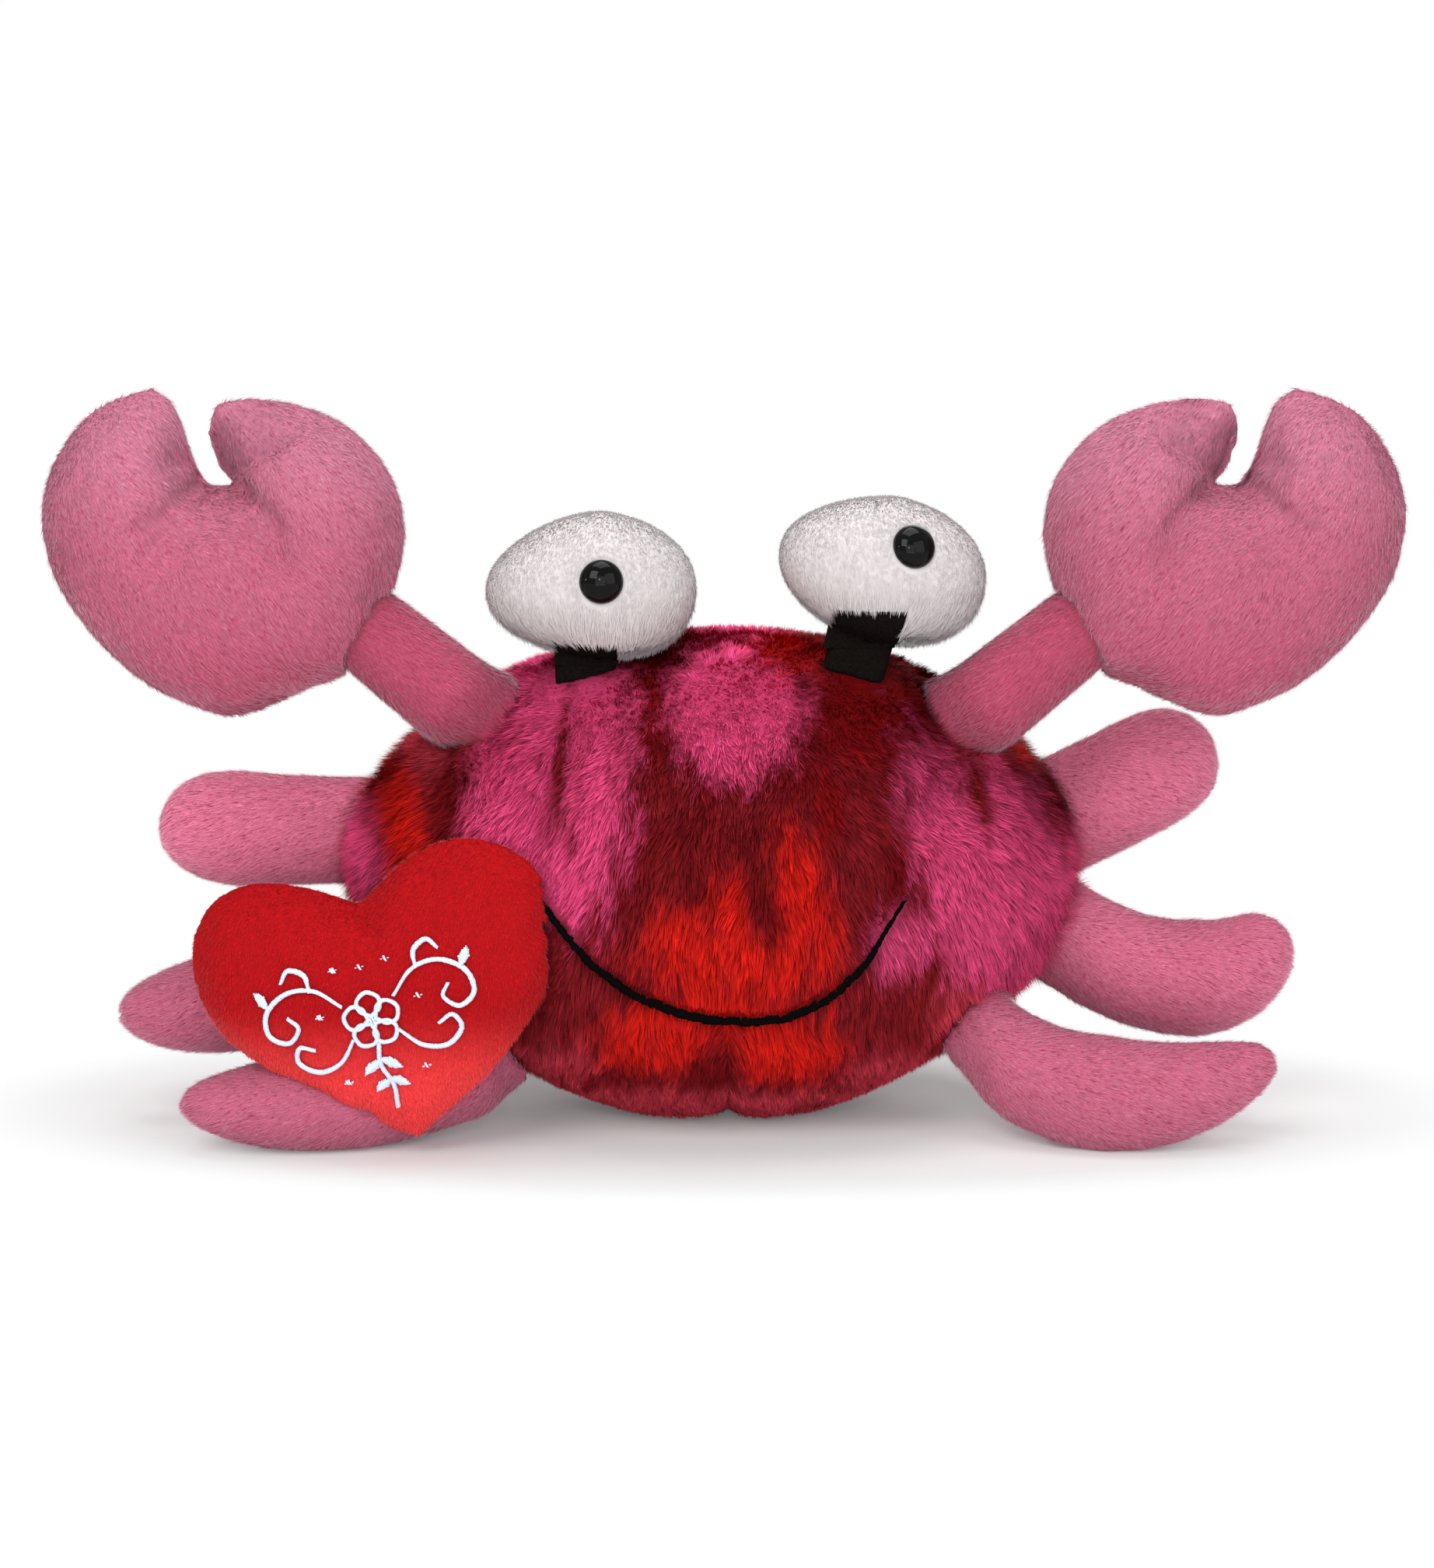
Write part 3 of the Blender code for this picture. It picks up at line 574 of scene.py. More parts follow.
def gather(roots, tips, cell, pull, seed):
    """Draws tips together into tufts of about this size.

    Also gives each root's way out from the middle of its tuft, and its tuft's own number.
    """
    rng = np.random.default_rng(seed)
    spread = np.ptp(roots, axis=0)
    surface = 2.2 * (spread[0] * spread[1] + spread[1] * spread[2] + spread[0] * spread[2])
    tufts = int(min(len(roots) / 4, surface / cell**2))
    tree = KDTree(tufts)
    for number, place in enumerate(roots[:tufts].tolist()):
        tree.insert(place, number)
    tree.balance()
    own = np.array([tree.find(place)[1] for place in roots.tolist()])
    share = (pull * rng.uniform(*TUFT_PULLS, len(roots)))[:, None]
    drawn = tips + (tips[own] - tips) * share
    out = (roots - roots[own]) / cell
    return drawn, out, own


FLOOR_GAP = 0.0003


def keep_above_floor(tips):
    """No tip goes under the floor."""
    tips[:, 2] = np.maximum(tips[:, 2], FLOOR_GAP)
    return tips


def spread_map(roots):
    """Each fibre's own cell of a square map, with neighbours on the cloth near each other."""
    count = len(roots)
    side = math.ceil(math.sqrt(count))
    by_height = np.argsort(roots[:, 2], kind="stable")
    angle = np.arctan2(roots[:, 0] - roots[:, 0].mean(), -(roots[:, 1] - roots[:, 1].mean()))
    row = np.empty(count, int)
    row[by_height] = np.arange(count) // side
    order = np.lexsort((angle, row))
    column = np.empty(count, int)
    column[order] = np.arange(count) - row[order] * side
    cell = np.stack([column, row], axis=1) / side
    corner = np.array([(0.1, 0.1), (0.9, 0.1), (0.5, 0.9)]) / side
    return cell[:, None, :] + corner[None, :, :]


def build_pile(name, strands, root_shade, material, seed):
    """A piece of fibres: strands holds their roots, tips, normals, widths, colours and ways out."""
    rng = np.random.default_rng(seed)
    roots, tips, normals = strands["roots"], strands["tips"], strands["normals"]
    count = len(roots)
    across = unit(np.cross(unit(tips - roots), normals))
    across = unit(across + normals * rng.normal(0.0, FIBRE_TWIST, (count, 1)))
    half = across * (strands["widths"] / 2)[:, None]
    corners = np.stack([roots - half, roots + half, tips], axis=1).reshape(-1, 3)
    mesh = bpy.data.meshes.new(name)
    mesh.vertices.add(count * 3)
    mesh.vertices.foreach_set("co", corners.astype(np.float32).ravel())
    mesh.loops.add(count * 3)
    mesh.loops.foreach_set("vertex_index", np.arange(count * 3, dtype=np.int32))
    mesh.polygons.add(count)
    mesh.polygons.foreach_set("loop_start", np.arange(0, count * 3, 3, dtype=np.int32))
    mesh.update(calc_edges=True)
    own = unit(np.cross(half, tips - roots))
    ruffle = rng.normal(0.0, strands["own"] * FIBRE_RUFFLE, (count, 3))
    own = own * strands["own"]
    shading = unit(normals * CLOTH_SHADING + own + strands["out"] * strands["shading"] + ruffle)
    mesh.normals_split_custom_set_from_vertices(np.repeat(shading, 3, axis=0).tolist())
    # Painted shade: the two root corners of each fibre are darker than its tip
    shades = np.ones((count, 3))
    shades[:, :2] = root_shade
    dyes = (strands["colours"][:, None, :] * shades[:, :, None]).reshape(-1, 3)
    colour_points(mesh, dyes)
    cells = mesh.uv_layers.new(name="OFBake")
    cells.data.foreach_set("uv", spread_map(roots).astype(np.float32).ravel())
    return add_piece(name, mesh, material)


# Body fur

BODY_FUR_COUNT = 270000
BODY_FUR_LENGTH = 0.0046
BODY_FUR_WIDTH = 0.00027
BODY_FUR_LIFT = 42.0
BODY_FUR_SPREAD = 13.0
BODY_FUR_OWN = 0.36
BODY_TUFT = 0.0019
BODY_TUFT_PULL = 0.46
BODY_TUFT_SHADING = 0.42
UNDERSIDE_LENGTH = 0.3
TOP_SHORTER = 0.5
BODY_ROOT_SHADE = 0.52
BODY_SPARE = 1.22
BODY_FUR_LENGTHS = (0.62, 1.18)
BODY_FUR_WIDTHS = (0.7, 1.3)
BODY_FUR_TONES = (0.8, 1.18)
BODY_TUFT_TONES = 0.15
BODY_DARKEST = 0.4
BODY_FUR_SUNK = 0.0002
DYED_AT = 0.45
# Painted shade: the body's cloth under the fur is darker, as the shade among the fibres
BODY_BACKING_SHADE = 0.55
BODY_CLEARANCE = 0.0005
BODY_ABOVE_FLOOR = 0.0012
UNDERSIDE_HEIGHTS = (0.002, 0.034)
TOP_FACING = (0.55, 0.85)
PRESSED_REACH = 0.0055
PRESSED_LENGTH = 0.42
FUR_SIDE_SPLIT = -0.004

# Fields of dye on the front, in millimetres: colour, middle (x, z), half size (x, z), lean in degrees
FRONT_DYES = (
    (WINE, (46, 32), (30, 16), 20),
    (WINE, (-45, 38), (22, 18), -20),
    (WINE, (30, 72), (8, 18), 10),
    (DEEP_RED, (34, 104), (12, 11), 10),
    (DEEP_RED, (-17, 105), (4, 10), 0),
    (ROSE, (0, 3), (70, 9), 0),
    (ROSE, (66, 28), (16, 14), 30),
    (ROSE, (-46, 16), (14, 7), -25),
    (ROSE, (46, 13), (16, 6), 20),
    (ROSE, (-70, 94), (12, 9), 0),
    (ROSE, (62, 92), (6, 7), 0),
    (SOFT_PINK, (64, 62), (17, 29), -14),
    (SOFT_PINK, (50, 80), (7, 15), -22),
    (SOFT_PINK, (41, 52), (8, 7), -30),
    (SOFT_PINK, (80, 50), (12, 20), 10),
    (WINE, (60, 84), (2.5, 7), -10),
    (HOT_PINK, (3, 106), (15, 16), 0),
    (HOT_PINK, (-38, 104), (17, 13), 10),
    (HOT_PINK, (-50, 81), (12, 19), 8),
    (HOT_PINK, (-30, 84), (7.5, 21), 4),
    (HOT_PINK, (-37, 66), (9, 9), 0),
    (HOT_PINK, (-88, 68), (7, 10), 0),
    (WINE, (-38, 94), (1.6, 13), 6),
    (DEEP_CRIMSON, (-66, 82), (4, 11), 10),
    (ORANGE_RED, (-76, 77), (6, 11), -12),
    (ORANGE_RED, (4, 48), (21, 9.5), 0),
    (ORANGE_RED, (-10, 55), (7, 6), 30),
    (ORANGE_RED, (2, 61), (4.5, 8), -8),
    (ORANGE_RED, (18, 62), (6, 15), -8),
    (DEEP_RED, (24, 84), (3, 9), -8),
    (DEEP_CRIMSON, (9, 60), (3, 8), -14),
    (ORANGE_RED, (0, 35), (16, 6), 0),
    (ORANGE_RED, (-15, 28), (13, 9), -14),
    (ORANGE_RED, (14, 25), (13, 9), 8),
    (DEEP_CRIMSON, (-3, 19), (4.5, 5), 0),
    (DEEP_RED, (-10, 124), (22, 6), 0),
    (ORANGE_RED, (17, 117), (9, 5), -10),
    (ORANGE_RED, (73, 91), (3, 3), 0),
)
# The back panel carries the dyes on in large plain fields
BACK_DYES = (
    (ROSE, (0, 4), (60, 9), 0),
    (WINE, (30, 34), (30, 18), 12),
    (HOT_PINK, (3, 106), (15, 14), 0),
    (HOT_PINK, (-38, 104), (17, 12), 10),
    (HOT_PINK, (-54, 66), (18, 22), 12),
    (HOT_PINK, (56, 60), (20, 24), -12),
    (HOT_PINK, (82, 52), (12, 20), 10),
    (DEEP_RED, (34, 104), (12, 11), 10),
    (ORANGE_RED, (0, 54), (20, 17), 8),
    (ORANGE_RED, (-12, 30), (14, 10), 0),
    (ORANGE_RED, (-80, 76), (7, 11), -12),
)
DYE_SOFT = 4.6
DYE_STREAK = 2.6
DYE_FRAY = 1.5
DYE_FIBRE = 1.3
SIDE_SEAM = (-0.006, 0.004)
SIDE_SEAM_WAVE = 0.006


PINK_UNEVEN = 0.24
# Waves in the dye: length and seed
CLOUD_WAVES = (0.014, 11)
STREAK_WAVES = (0.005, 21)
FRAY_WAVES = (0.0018, 31)
UNEVEN_WAVES = (0.0075, 45)
SIDE_SEAM_WAVES = (0.02, 41)
# Dyes run further up and back than across
STREAKED = np.array((1.0, 0.5, 0.35))


def dye_panel(dyes, points, jitter):
    """The dyed cloth of one panel, at these places."""
    shade = 0.5 + 0.5 * waves(points, *CLOUD_WAVES)
    colours = mix(DEEP_CRIMSON, WINE, shade)
    streaks = points * STREAKED
    edge = DYE_STREAK * waves(streaks, *STREAK_WAVES) + DYE_FRAY * waves(streaks, *FRAY_WAVES)
    edge = edge + DYE_FIBRE * jitter
    for dye, middle, half, lean in dyes:
        turn = math.radians(lean)
        dx = points[:, 0] / MM - middle[0]
        dz = points[:, 2] / MM - middle[1]
        across = (dx * math.cos(turn) - dz * math.sin(turn)) / half[0]
        up = (dx * math.sin(turn) + dz * math.cos(turn)) / half[1]
        small = min(half)
        outside = (np.hypot(across, up) - 1) * small + edge * min(1.0, small / 7.0)
        soft = min(DYE_SOFT, 0.7 * small)
        colours = mix(colours, dye, 1 - smoothstep(-soft, soft, outside))
    uneven = PINK_UNEVEN * smoothstep(0.1, 0.9, waves(streaks, *UNEVEN_WAVES))
    return mix(colours, WINE, uneven * smoothstep(0.3, 0.6, colours[:, 0]))


def dye_cloth(points, seed):
    """The dyes of the front panel and, behind the side seam, of the back panel."""
    rng = np.random.default_rng(seed)
    jitter = rng.normal(0.0, 1.0, len(points))
    front = dye_panel(FRONT_DYES, points, jitter)
    back = dye_panel(BACK_DYES, points, jitter)
    over = SIDE_SEAM_WAVE * waves(points, *SIDE_SEAM_WAVES) + points[:, 1]
    return mix(front, back, smoothstep(*SIDE_SEAM, over))


def solid_line(node, count):
    """Points along the middle of a long thin solid, from left to right."""
    points = points_of(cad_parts[node])
    edges = np.linspace(points[:, 0].min(), points[:, 0].max(), count + 1)
    line = []
    for start, end in zip(edges[:-1], edges[1:]):
        held = (points[:, 0] >= start) & (points[:, 0] <= end)
        if held.any():
            line.append(points[held].mean(axis=0))
    return np.array(line)


SMILE_STEPS = 34
SMILE_PARTING = 0.0011
SMILE_IN_FRONT = -0.03
SMILE_BRUSHED = 0.006
SMILE_SHORTEST = 0.3
SMILE_RISE = 0.0021
SMILE_WIDTH = 0.0036
SMILE_PITCH = 0.00085
SMILE_SLANT = 52.0
SMILE_ENDS = 0.62
SMILE_SWELL = 0.42
SMILE_THIN = 0.5
SMILE_THINNING = (0.86, 1.0)
SMILE_CROWN = 0.0009
SMILE_UNEVEN = 0.28
# Seam down the middle of the belly, in millimetres
BELLY_SEAM = ((1, -51, 33), (1, -44, 21), (1, -32, 9), (1, -22, 3), (1, 0, 0))
BELLY_SEAM_DEPTH = 0.0016
BELLY_SEAM_WIDTH = 0.0018
BELLY_SEAM_COMBED = 0.005
BELLY_SEAM_PARTING = 0.9
BELLY_SEAM_LINE = 0.0012
BELLY_SEAM_DARK = 0.45
# The underside lifts a little off the floor towards its sides
LIFTED_FROM = (0.016, 0.052)
LIFTED_BELOW = (0.024, 0.042)
LIFT = 0.0022


def metres(points):
    """Points given in millimetres."""
    return [tuple(c * MM for c in point) for point in points]


def part_fur(roots, tips, line):
    """Which fibres over the smile stay, and how much of those that reach across it."""
    flat = line.copy()
    flat[:, 1] = 0.0
    rooted, tipped = roots.copy(), tips.copy()
    rooted[:, 1] = 0.0
    tipped[:, 1] = 0.0
    front = roots[:, 1] < SMILE_IN_FRONT
    from_root = line_distance(rooted, flat)
    from_end = np.minimum(line_distance(tipped, flat), line_distance((rooted + tipped) / 2, flat))
    keep = ~(front & (from_root < SMILE_PARTING))
    crossing = front & (from_end < SMILE_PARTING * 1.5)
    share = np.ones(len(roots))
    reach = (from_root[crossing] - SMILE_PARTING / 2) / SMILE_BRUSHED
    share[crossing] = np.clip(reach, SMILE_SHORTEST, 1.0)
    return keep, share


FALL_OUTWARDS = np.array((2.5, 3.0, 0.0))
# Swirls of the fur: strength, length and seed
FUR_SWIRLS = ((0.38, 0.022, 51), (0.3, 0.006, 55))


def groom_body(roots, normals):
    """Fur falls from the top, a little outwards, in soft swirls, away from the belly seam."""
    fall = roots * FALL_OUTWARDS - UPWARD
    for strength, length, seed in FUR_SWIRLS:
        fall = fall + strength * wavering(roots, length, seed)
    beside = line_share(roots, metres(BELLY_SEAM), BELLY_SEAM_COMBED)
    fall[:, 0] += beside * np.sign(roots[:, 0] - BELLY_SEAM[0][0] * MM) * BELLY_SEAM_PARTING
    return lay(normals, fall)


def build_body_fur(skin, others, pressing, line, material):
    """Long fur over the whole body, short where the heart and the stalks press on it."""
    rng = np.random.default_rng(SEEDS["body"])
    roots, normals = scatter(skin, int(BODY_FUR_COUNT * BODY_SPARE), rng)
    clear = ~near(others, roots, BODY_CLEARANCE) & (roots[:, 2] > BODY_ABOVE_FLOOR)
    roots, normals = roots[clear], normals[clear]
    lengths = BODY_FUR_LENGTH * rng.uniform(*BODY_FUR_LENGTHS, len(roots))
    over_underside = smoothstep(*UNDERSIDE_HEIGHTS, roots[:, 2])
    lengths = lengths * (UNDERSIDE_LENGTH + (1 - UNDERSIDE_LENGTH) * over_underside)
    lengths = lengths * (1 - TOP_SHORTER * smoothstep(*TOP_FACING, normals[:, 2]))
    lengths[near(pressing, roots, PRESSED_REACH)] *= PRESSED_LENGTH
    ways = groom_body(roots, normals)
    tips = grow(roots, normals, ways, lengths, BODY_FUR_LIFT, BODY_FUR_SPREAD, SEEDS["body_lift"])
    tips, out, own = gather(roots, tips, BODY_TUFT, BODY_TUFT_PULL, SEEDS["body_tufts"])
    keep, share = part_fur(roots, tips, line)
    tips = roots + (tips - roots) * share[:, None]
    tips = keep_above_floor(slide(others, roots, tips))
    tone = rng.uniform(*BODY_FUR_TONES, len(roots))
    tone = tone * (1 + BODY_TUFT_TONES * rng.normal(size=len(roots)))[own]
    tone = tone * (1 - BELLY_SEAM_DARK * line_share(roots, metres(BELLY_SEAM), BELLY_SEAM_LINE))
    colours = dye_cloth(roots + (tips - roots) * DYED_AT, SEEDS["body_dye"])
    colours = colours * np.maximum(tone, BODY_DARKEST)[:, None]
    kept = np.flatnonzero(keep)[:BODY_FUR_COUNT]
    front = roots[kept, 1] < FUR_SIDE_SPLIT
    for name, part in (("body_fur_front", kept[front]), ("body_fur_back", kept[~front])):
        strands = {
            "roots": roots[part] - normals[part] * BODY_FUR_SUNK,
            "tips": tips[part],
            "normals": normals[part],
            "widths": BODY_FUR_WIDTH * rng.uniform(*BODY_FUR_WIDTHS, len(part)),
            "colours": np.clip(colours[part], 0.0, 1.0),
            "out": out[part],
            "shading": BODY_TUFT_SHADING,
            "own": BODY_FUR_OWN,
        }
        build_pile(name, strands, BODY_ROOT_SHADE, material, SEEDS["body_ruffle"])


# Short nap of the claws, arms, legs, eyes and heart

# Each kind's root share is painted shade at the roots of its fibres; its slit colour, depth and share
# darken a few fibres as the painted shade in partings of the pile
NAP = {
    "limb": dict(
        length=0.002, width=0.00019, lift=18.0, tuft=0.0008, pull=0.22, drift=0.05, root=0.8,
        spread=0.06, slit=NAP_GAP_SHADE, slits=0.95, dark=0.13, shading=0.11, own=0.12,
    ),
    "eye": dict(
        length=0.0013, width=0.00026, lift=17.0, tuft=0.0018, pull=0.14, drift=0.06, root=0.98,
        spread=0.02, slit=(0.4, 0.34, 0.34), slits=0.03, dark=0.01, shading=0.03, own=0.03,
    ),
    "heart": dict(
        length=0.0011, width=0.00024, lift=32.0, tuft=0.0008, pull=0.3, drift=0.16, root=0.82,
        spread=0.06, slit=(0.4, 0.005, 0.007), slits=0.6, dark=0.08, shading=0.08, own=0.09,
    ),
}
NAP_SPREAD = 8.0
NAP_SPARE = 1.3
NAP_LENGTHS = (0.65, 1.2)
NAP_WIDTHS = (0.7, 1.3)
NAP_SUNK = 0.00012
NAP_DARKEST = 0.3
NAP_CLEARANCE = 0.0007
NAP_ABOVE_FLOOR = 0.0006
NAP_SWIRL = (0.2, 0.02)
NAP_RIPPLE = 0.003
CUT_SHARE = 0.85
SEAM_BARE = 0.012
SEAM_SHADE = 0.045
SEAM_DARK = 0.24
# Painted shade: how far the backing under the nap is darkened towards the shade between the fibres
BACKING_SHADE = 0.34


def build_nap(skin, name, kind, count, way, colour, material, slot, seed, **extra):
    """Short pile over a skin, laid along its way.

    extra may hold others, a tree to keep off by reach, cut, a tree not to cross, face, across
    which the seam lies, lengths and shade, functions of the roots, and creases, lines in shade.
    """
    nap = NAP[kind]
    rng = np.random.default_rng(seed)
    roots, normals = scatter(skin, int(count * NAP_SPARE), rng)
    clear = roots[:, 2] > NAP_ABOVE_FLOOR
    face = extra.get("face")
    if face is not None:
        clear &= np.abs(normals @ face) > SEAM_BARE
    if "others" in extra:
        clear &= ~near(extra["others"], roots, extra.get("reach", NAP_CLEARANCE))
    roots, normals = roots[clear][:count], normals[clear][:count]
    swirl, turn = NAP_SWIRL
    drift = swirl * wavering(roots, turn, seed + 1)
    drift = drift + nap["drift"] * wavering(roots, NAP_RIPPLE, seed + 5)
    way = unit(np.array(way, float))
    direction = lay(normals, way + drift)
    lengths = nap["length"] * rng.uniform(*NAP_LENGTHS, len(roots))
    if "lengths" in extra:
        lengths = lengths * extra["lengths"](roots)
    tips = grow(roots, normals, direction, lengths, nap["lift"], NAP_SPREAD, seed + 9)
    tips, out, own = gather(roots, tips, nap["tuft"], nap["pull"], seed + 11)
    tips = keep_above_floor(tips)
    if "cut" in extra:
        tips = tips - (tips - roots) * (CUT_SHARE * crosses(extra["cut"], roots, tips))[:, None]
    # Painted shade: a few fibres are darkened as the shade in partings of the pile
    slits = nap["slits"] * (rng.random(len(roots)) < nap["dark"])
    dye = colour(roots) if callable(colour) else np.broadcast_to(colour, roots.shape)
    colours = mix(dye, nap["slit"], slits)
    tone = rng.uniform(1 - nap["spread"], 1 + nap["spread"], len(roots))
    tone = tone * (1 + nap["spread"] * rng.normal(size=len(roots)))[own]
    if face is not None:
        tone = tone * (1 - SEAM_DARK * seam_share(normals, face, SEAM_SHADE))
    for line, width, depth in extra.get("creases", ()):
        tone = tone * (1 - depth * line_share(roots, line, width))
    if "shade" in extra:
        tone = tone * extra["shade"](roots, normals)
    strands = {
        "roots": roots - normals * NAP_SUNK,
        "tips": tips,
        "normals": normals,
        "widths": nap["width"] * rng.uniform(*NAP_WIDTHS, len(roots)),
        "colours": np.clip(colours * np.maximum(tone, NAP_DARKEST)[:, None], 0.0, 1.0),
        "out": out,
        "shading": nap["shading"],
        "own": nap["own"],
    }
    return build_pile(name, strands, nap["root"], material, seed + 17)


def one_dye(skin, colour):
    """The same colour at every point of the skin."""
    return np.tile(colour, (len(skin.data.vertices), 1))


# Claws

CLAW_NAP_COUNT = 84000
# Folds of the left claw, in millimetres on its front face: line, depth, width. The right mirrors them
CLAW_FOLDS = (
    (((-124, -24, 157), (-127.5, -33, 154), (-132, -37, 150.5), (-136, -39, 148)), 1.3, 2.4),
    (((-112, -24, 157), (-109, -33, 154.5), (-106, -37, 151), (-103.5, -39, 147.5)), 1.7, 2.4),
)
# The beak's inner face, in millimetres (x, z): its outer corner, and its lower edge from tip to back
BEAK_CORNER = (-119.5, 172.0)
BEAK_EDGE = ((-113.0, 157.5), (-94.0, 168.5))
BEAK_DEPTH = 0.0052
# Where that face starts and is full, or fades and ends: over its edge, along it, and towards -Y
BEAK_RIDGE = (-0.0004, 0.0024)
BEAK_TOP = (0.01, 0.018)
BEAK_TIP = (-0.75, -0.35)
BEAK_BACK = (0.45, 1.05)
BEAK_FRONT = (0.15, 0.6)


# Heights at which the claws' painted shade turns to painted light: low, middle and high
CLAW_LIGHT_HEIGHTS = (0.1, 0.135, 0.172)
BEAK_SHADE = 0.26
# How wide the shade in a fold is, and how deep
CREASE_SHADE = (0.0012, 0.3)


def mirror(points, sign):
    """Points in millimetres of the left side, set on the side with this sign."""
    return [(-sign * p[0] * MM, p[1] * MM, p[2] * MM) for p in points]


def beak_share(points, normals, sign):
    """1 on the inner face of the beak, above the ridge along its lower edge, and 0 off it."""
    corner, low, back = (
        np.array((-sign * x, z)) * MM for x, z in (BEAK_CORNER, BEAK_EDGE[0], BEAK_EDGE[1])
    )
    flat = points[:, (0, 2)]
    edge = back - low
    up = np.array((-edge[1], edge[0])) / np.linalg.norm(edge)
    up = up * np.sign((corner - low) @ up)
    above = (flat - low) @ up
    along = ((flat - low) @ edge) / (edge @ edge)
    inside = smoothstep(*BEAK_RIDGE, above) * (1 - smoothstep(*BEAK_TOP, above))
    inside = inside * smoothstep(*BEAK_TIP, along) * (1 - smoothstep(*BEAK_BACK, along))
    return inside * smoothstep(*BEAK_FRONT, -normals[:, 1])


def claw_lit_colour(roots):
    """Painted light and shade: paler towards the top, where the light falls, and darker lower down."""
    low, middle, high = CLAW_LIGHT_HEIGHTS
    colours = mix(CLAW_SHADED_PINK, CLAW_HALF_LIT_PINK, smoothstep(low, middle, roots[:, 2]))
    return mix(colours, CLAW_LIT_PINK, smoothstep(middle, high, roots[:, 2]))


def build_claw(side, cloth, pile):
    """A stuffed pincer with its folds and its nap."""
    sign = SIDES[side]
    node = f"claw_{side}"
    skin = build_skin(node, "claw")
    stuff(skin, ACROSS)
    press_seam(skin, ACROSS)
    creases = []

    def shade(roots, normals):
        return 1 - BEAK_SHADE * beak_share(roots, normals, sign)

    for line, depth, width in CLAW_FOLDS:
        line = mirror(line, sign)
        press_line(skin, line, depth * MM, width * MM)
        creases.append((line, *CREASE_SHADE))
    points, _, normals = corners_of(skin.data)
    move_points(skin, ACROSS * (beak_share(points, normals, sign) * BEAK_DEPTH)[:, None])
    points = points_of(skin)
    # Painted shade: the backing is darkened as the shade among the fibres
    dyes = mix(claw_lit_colour(points), NAP_GAP_SHADE, BACKING_SHADE)
    finish_skin(skin, dyes, cloth, node)
    build_nap(
        skin, node + "_nap", "limb", CLAW_NAP_COUNT, (-sign * 0.62, -0.25, -0.78), claw_lit_colour, pile,
        "limb_plush", SEEDS[node], face=ACROSS, creases=creases, shade=shade,
    )
    return skin


# Arms and legs

ARM_NAP_COUNT = 20000
LEG_NAP_COUNT = 26000
LIMB_BARE = 0.0008
# Painted light: how much lighter the nap of some legs is coloured than that of the others, for the light
# that falls on them
LEG_PAINTED_LIGHT = {"leg_upper_left": 1.4, "leg_upper_right": 1.24, "leg_middle_right": 1.16}
TUCK_DEPTH = 0.001
TUCK_DEPTHS = {
    "arm_left": 0.0045, "arm_right": 0.0045, "leg_lower_left": 0.0085, "leg_lower_right": 0.0055,
}
TUCK_BACK = 0.003
TUCK_BACKS = {"arm_left": 0.01, "arm_right": 0.01, "leg_upper_left": 0.0}
# Where the body's fur laps over a limb, by the height over the body's cloth
LAPPED = (0.0012, 0.004)
LAPPED_FRAY = 0.0008
LAPPED_LENGTH = 0.9
LAPPED_SHADE = 0.9
LEGS_SEAMED_IN_FRONT = ("leg_middle_left", "leg_lower_left")


def build_limb(node, count, way, inwards, colour, cloth, pile, body_tree):
    """A stuffed tube with its nap, seated in the body's fur."""
    skin = build_skin(node, "limb")
    face = UPWARD if node in LEGS_SEAMED_IN_FRONT else ACROSS
    press_seam(skin, face)
    tuck_in(skin, inwards, TUCK_DEPTHS.get(node, TUCK_DEPTH), TUCK_BACKS.get(node, TUCK_BACK))
    # Painted shade: the backing is darkened as the shade among the fibres
    dyes = mix(one_dye(skin, colour), NAP_GAP_SHADE, BACKING_SHADE)
    finish_skin(skin, dyes, cloth, node)

    def lapped(roots):
        rng = np.random.default_rng(SEEDS[node])
        gaps = np.array([body_tree.find_nearest(place)[3] for place in roots.tolist()])
        return 1 - smoothstep(*LAPPED, gaps + LAPPED_FRAY * rng.normal(size=len(roots)))

    def dyed(roots):
        fur = dye_cloth(roots, SEEDS[node]) * LAPPED_SHADE
        return mix(np.broadcast_to(colour, roots.shape), fur, lapped(roots))

    def lengths(roots):
        return 1 + LAPPED_LENGTH * lapped(roots)

    build_nap(
        skin, node + "_nap", "limb", count, way, dyed, pile, "limb_plush", SEEDS[node],
        others=body_tree, reach=LIMB_BARE, face=face, lengths=lengths,
    )
    return skin


# Eyes

EYE_NAP_COUNT = 40000
EYE_FRINGE = 1.5
EYE_FRINGE_HEIGHTS = (0.002, -0.013)
# How far the felt strap laps up the front of each eye, in millimetres, and how it slants
TAB_HEIGHT = {"left": 3.0, "right": 5.4}
TAB_SLANT = {"left": 0.0, "right": 0.22}
TAB_STEPS = 10
TAB_LIFT = 0.0004
TAB_BEHIND = 0.001
TAB_DROP = 0.0018


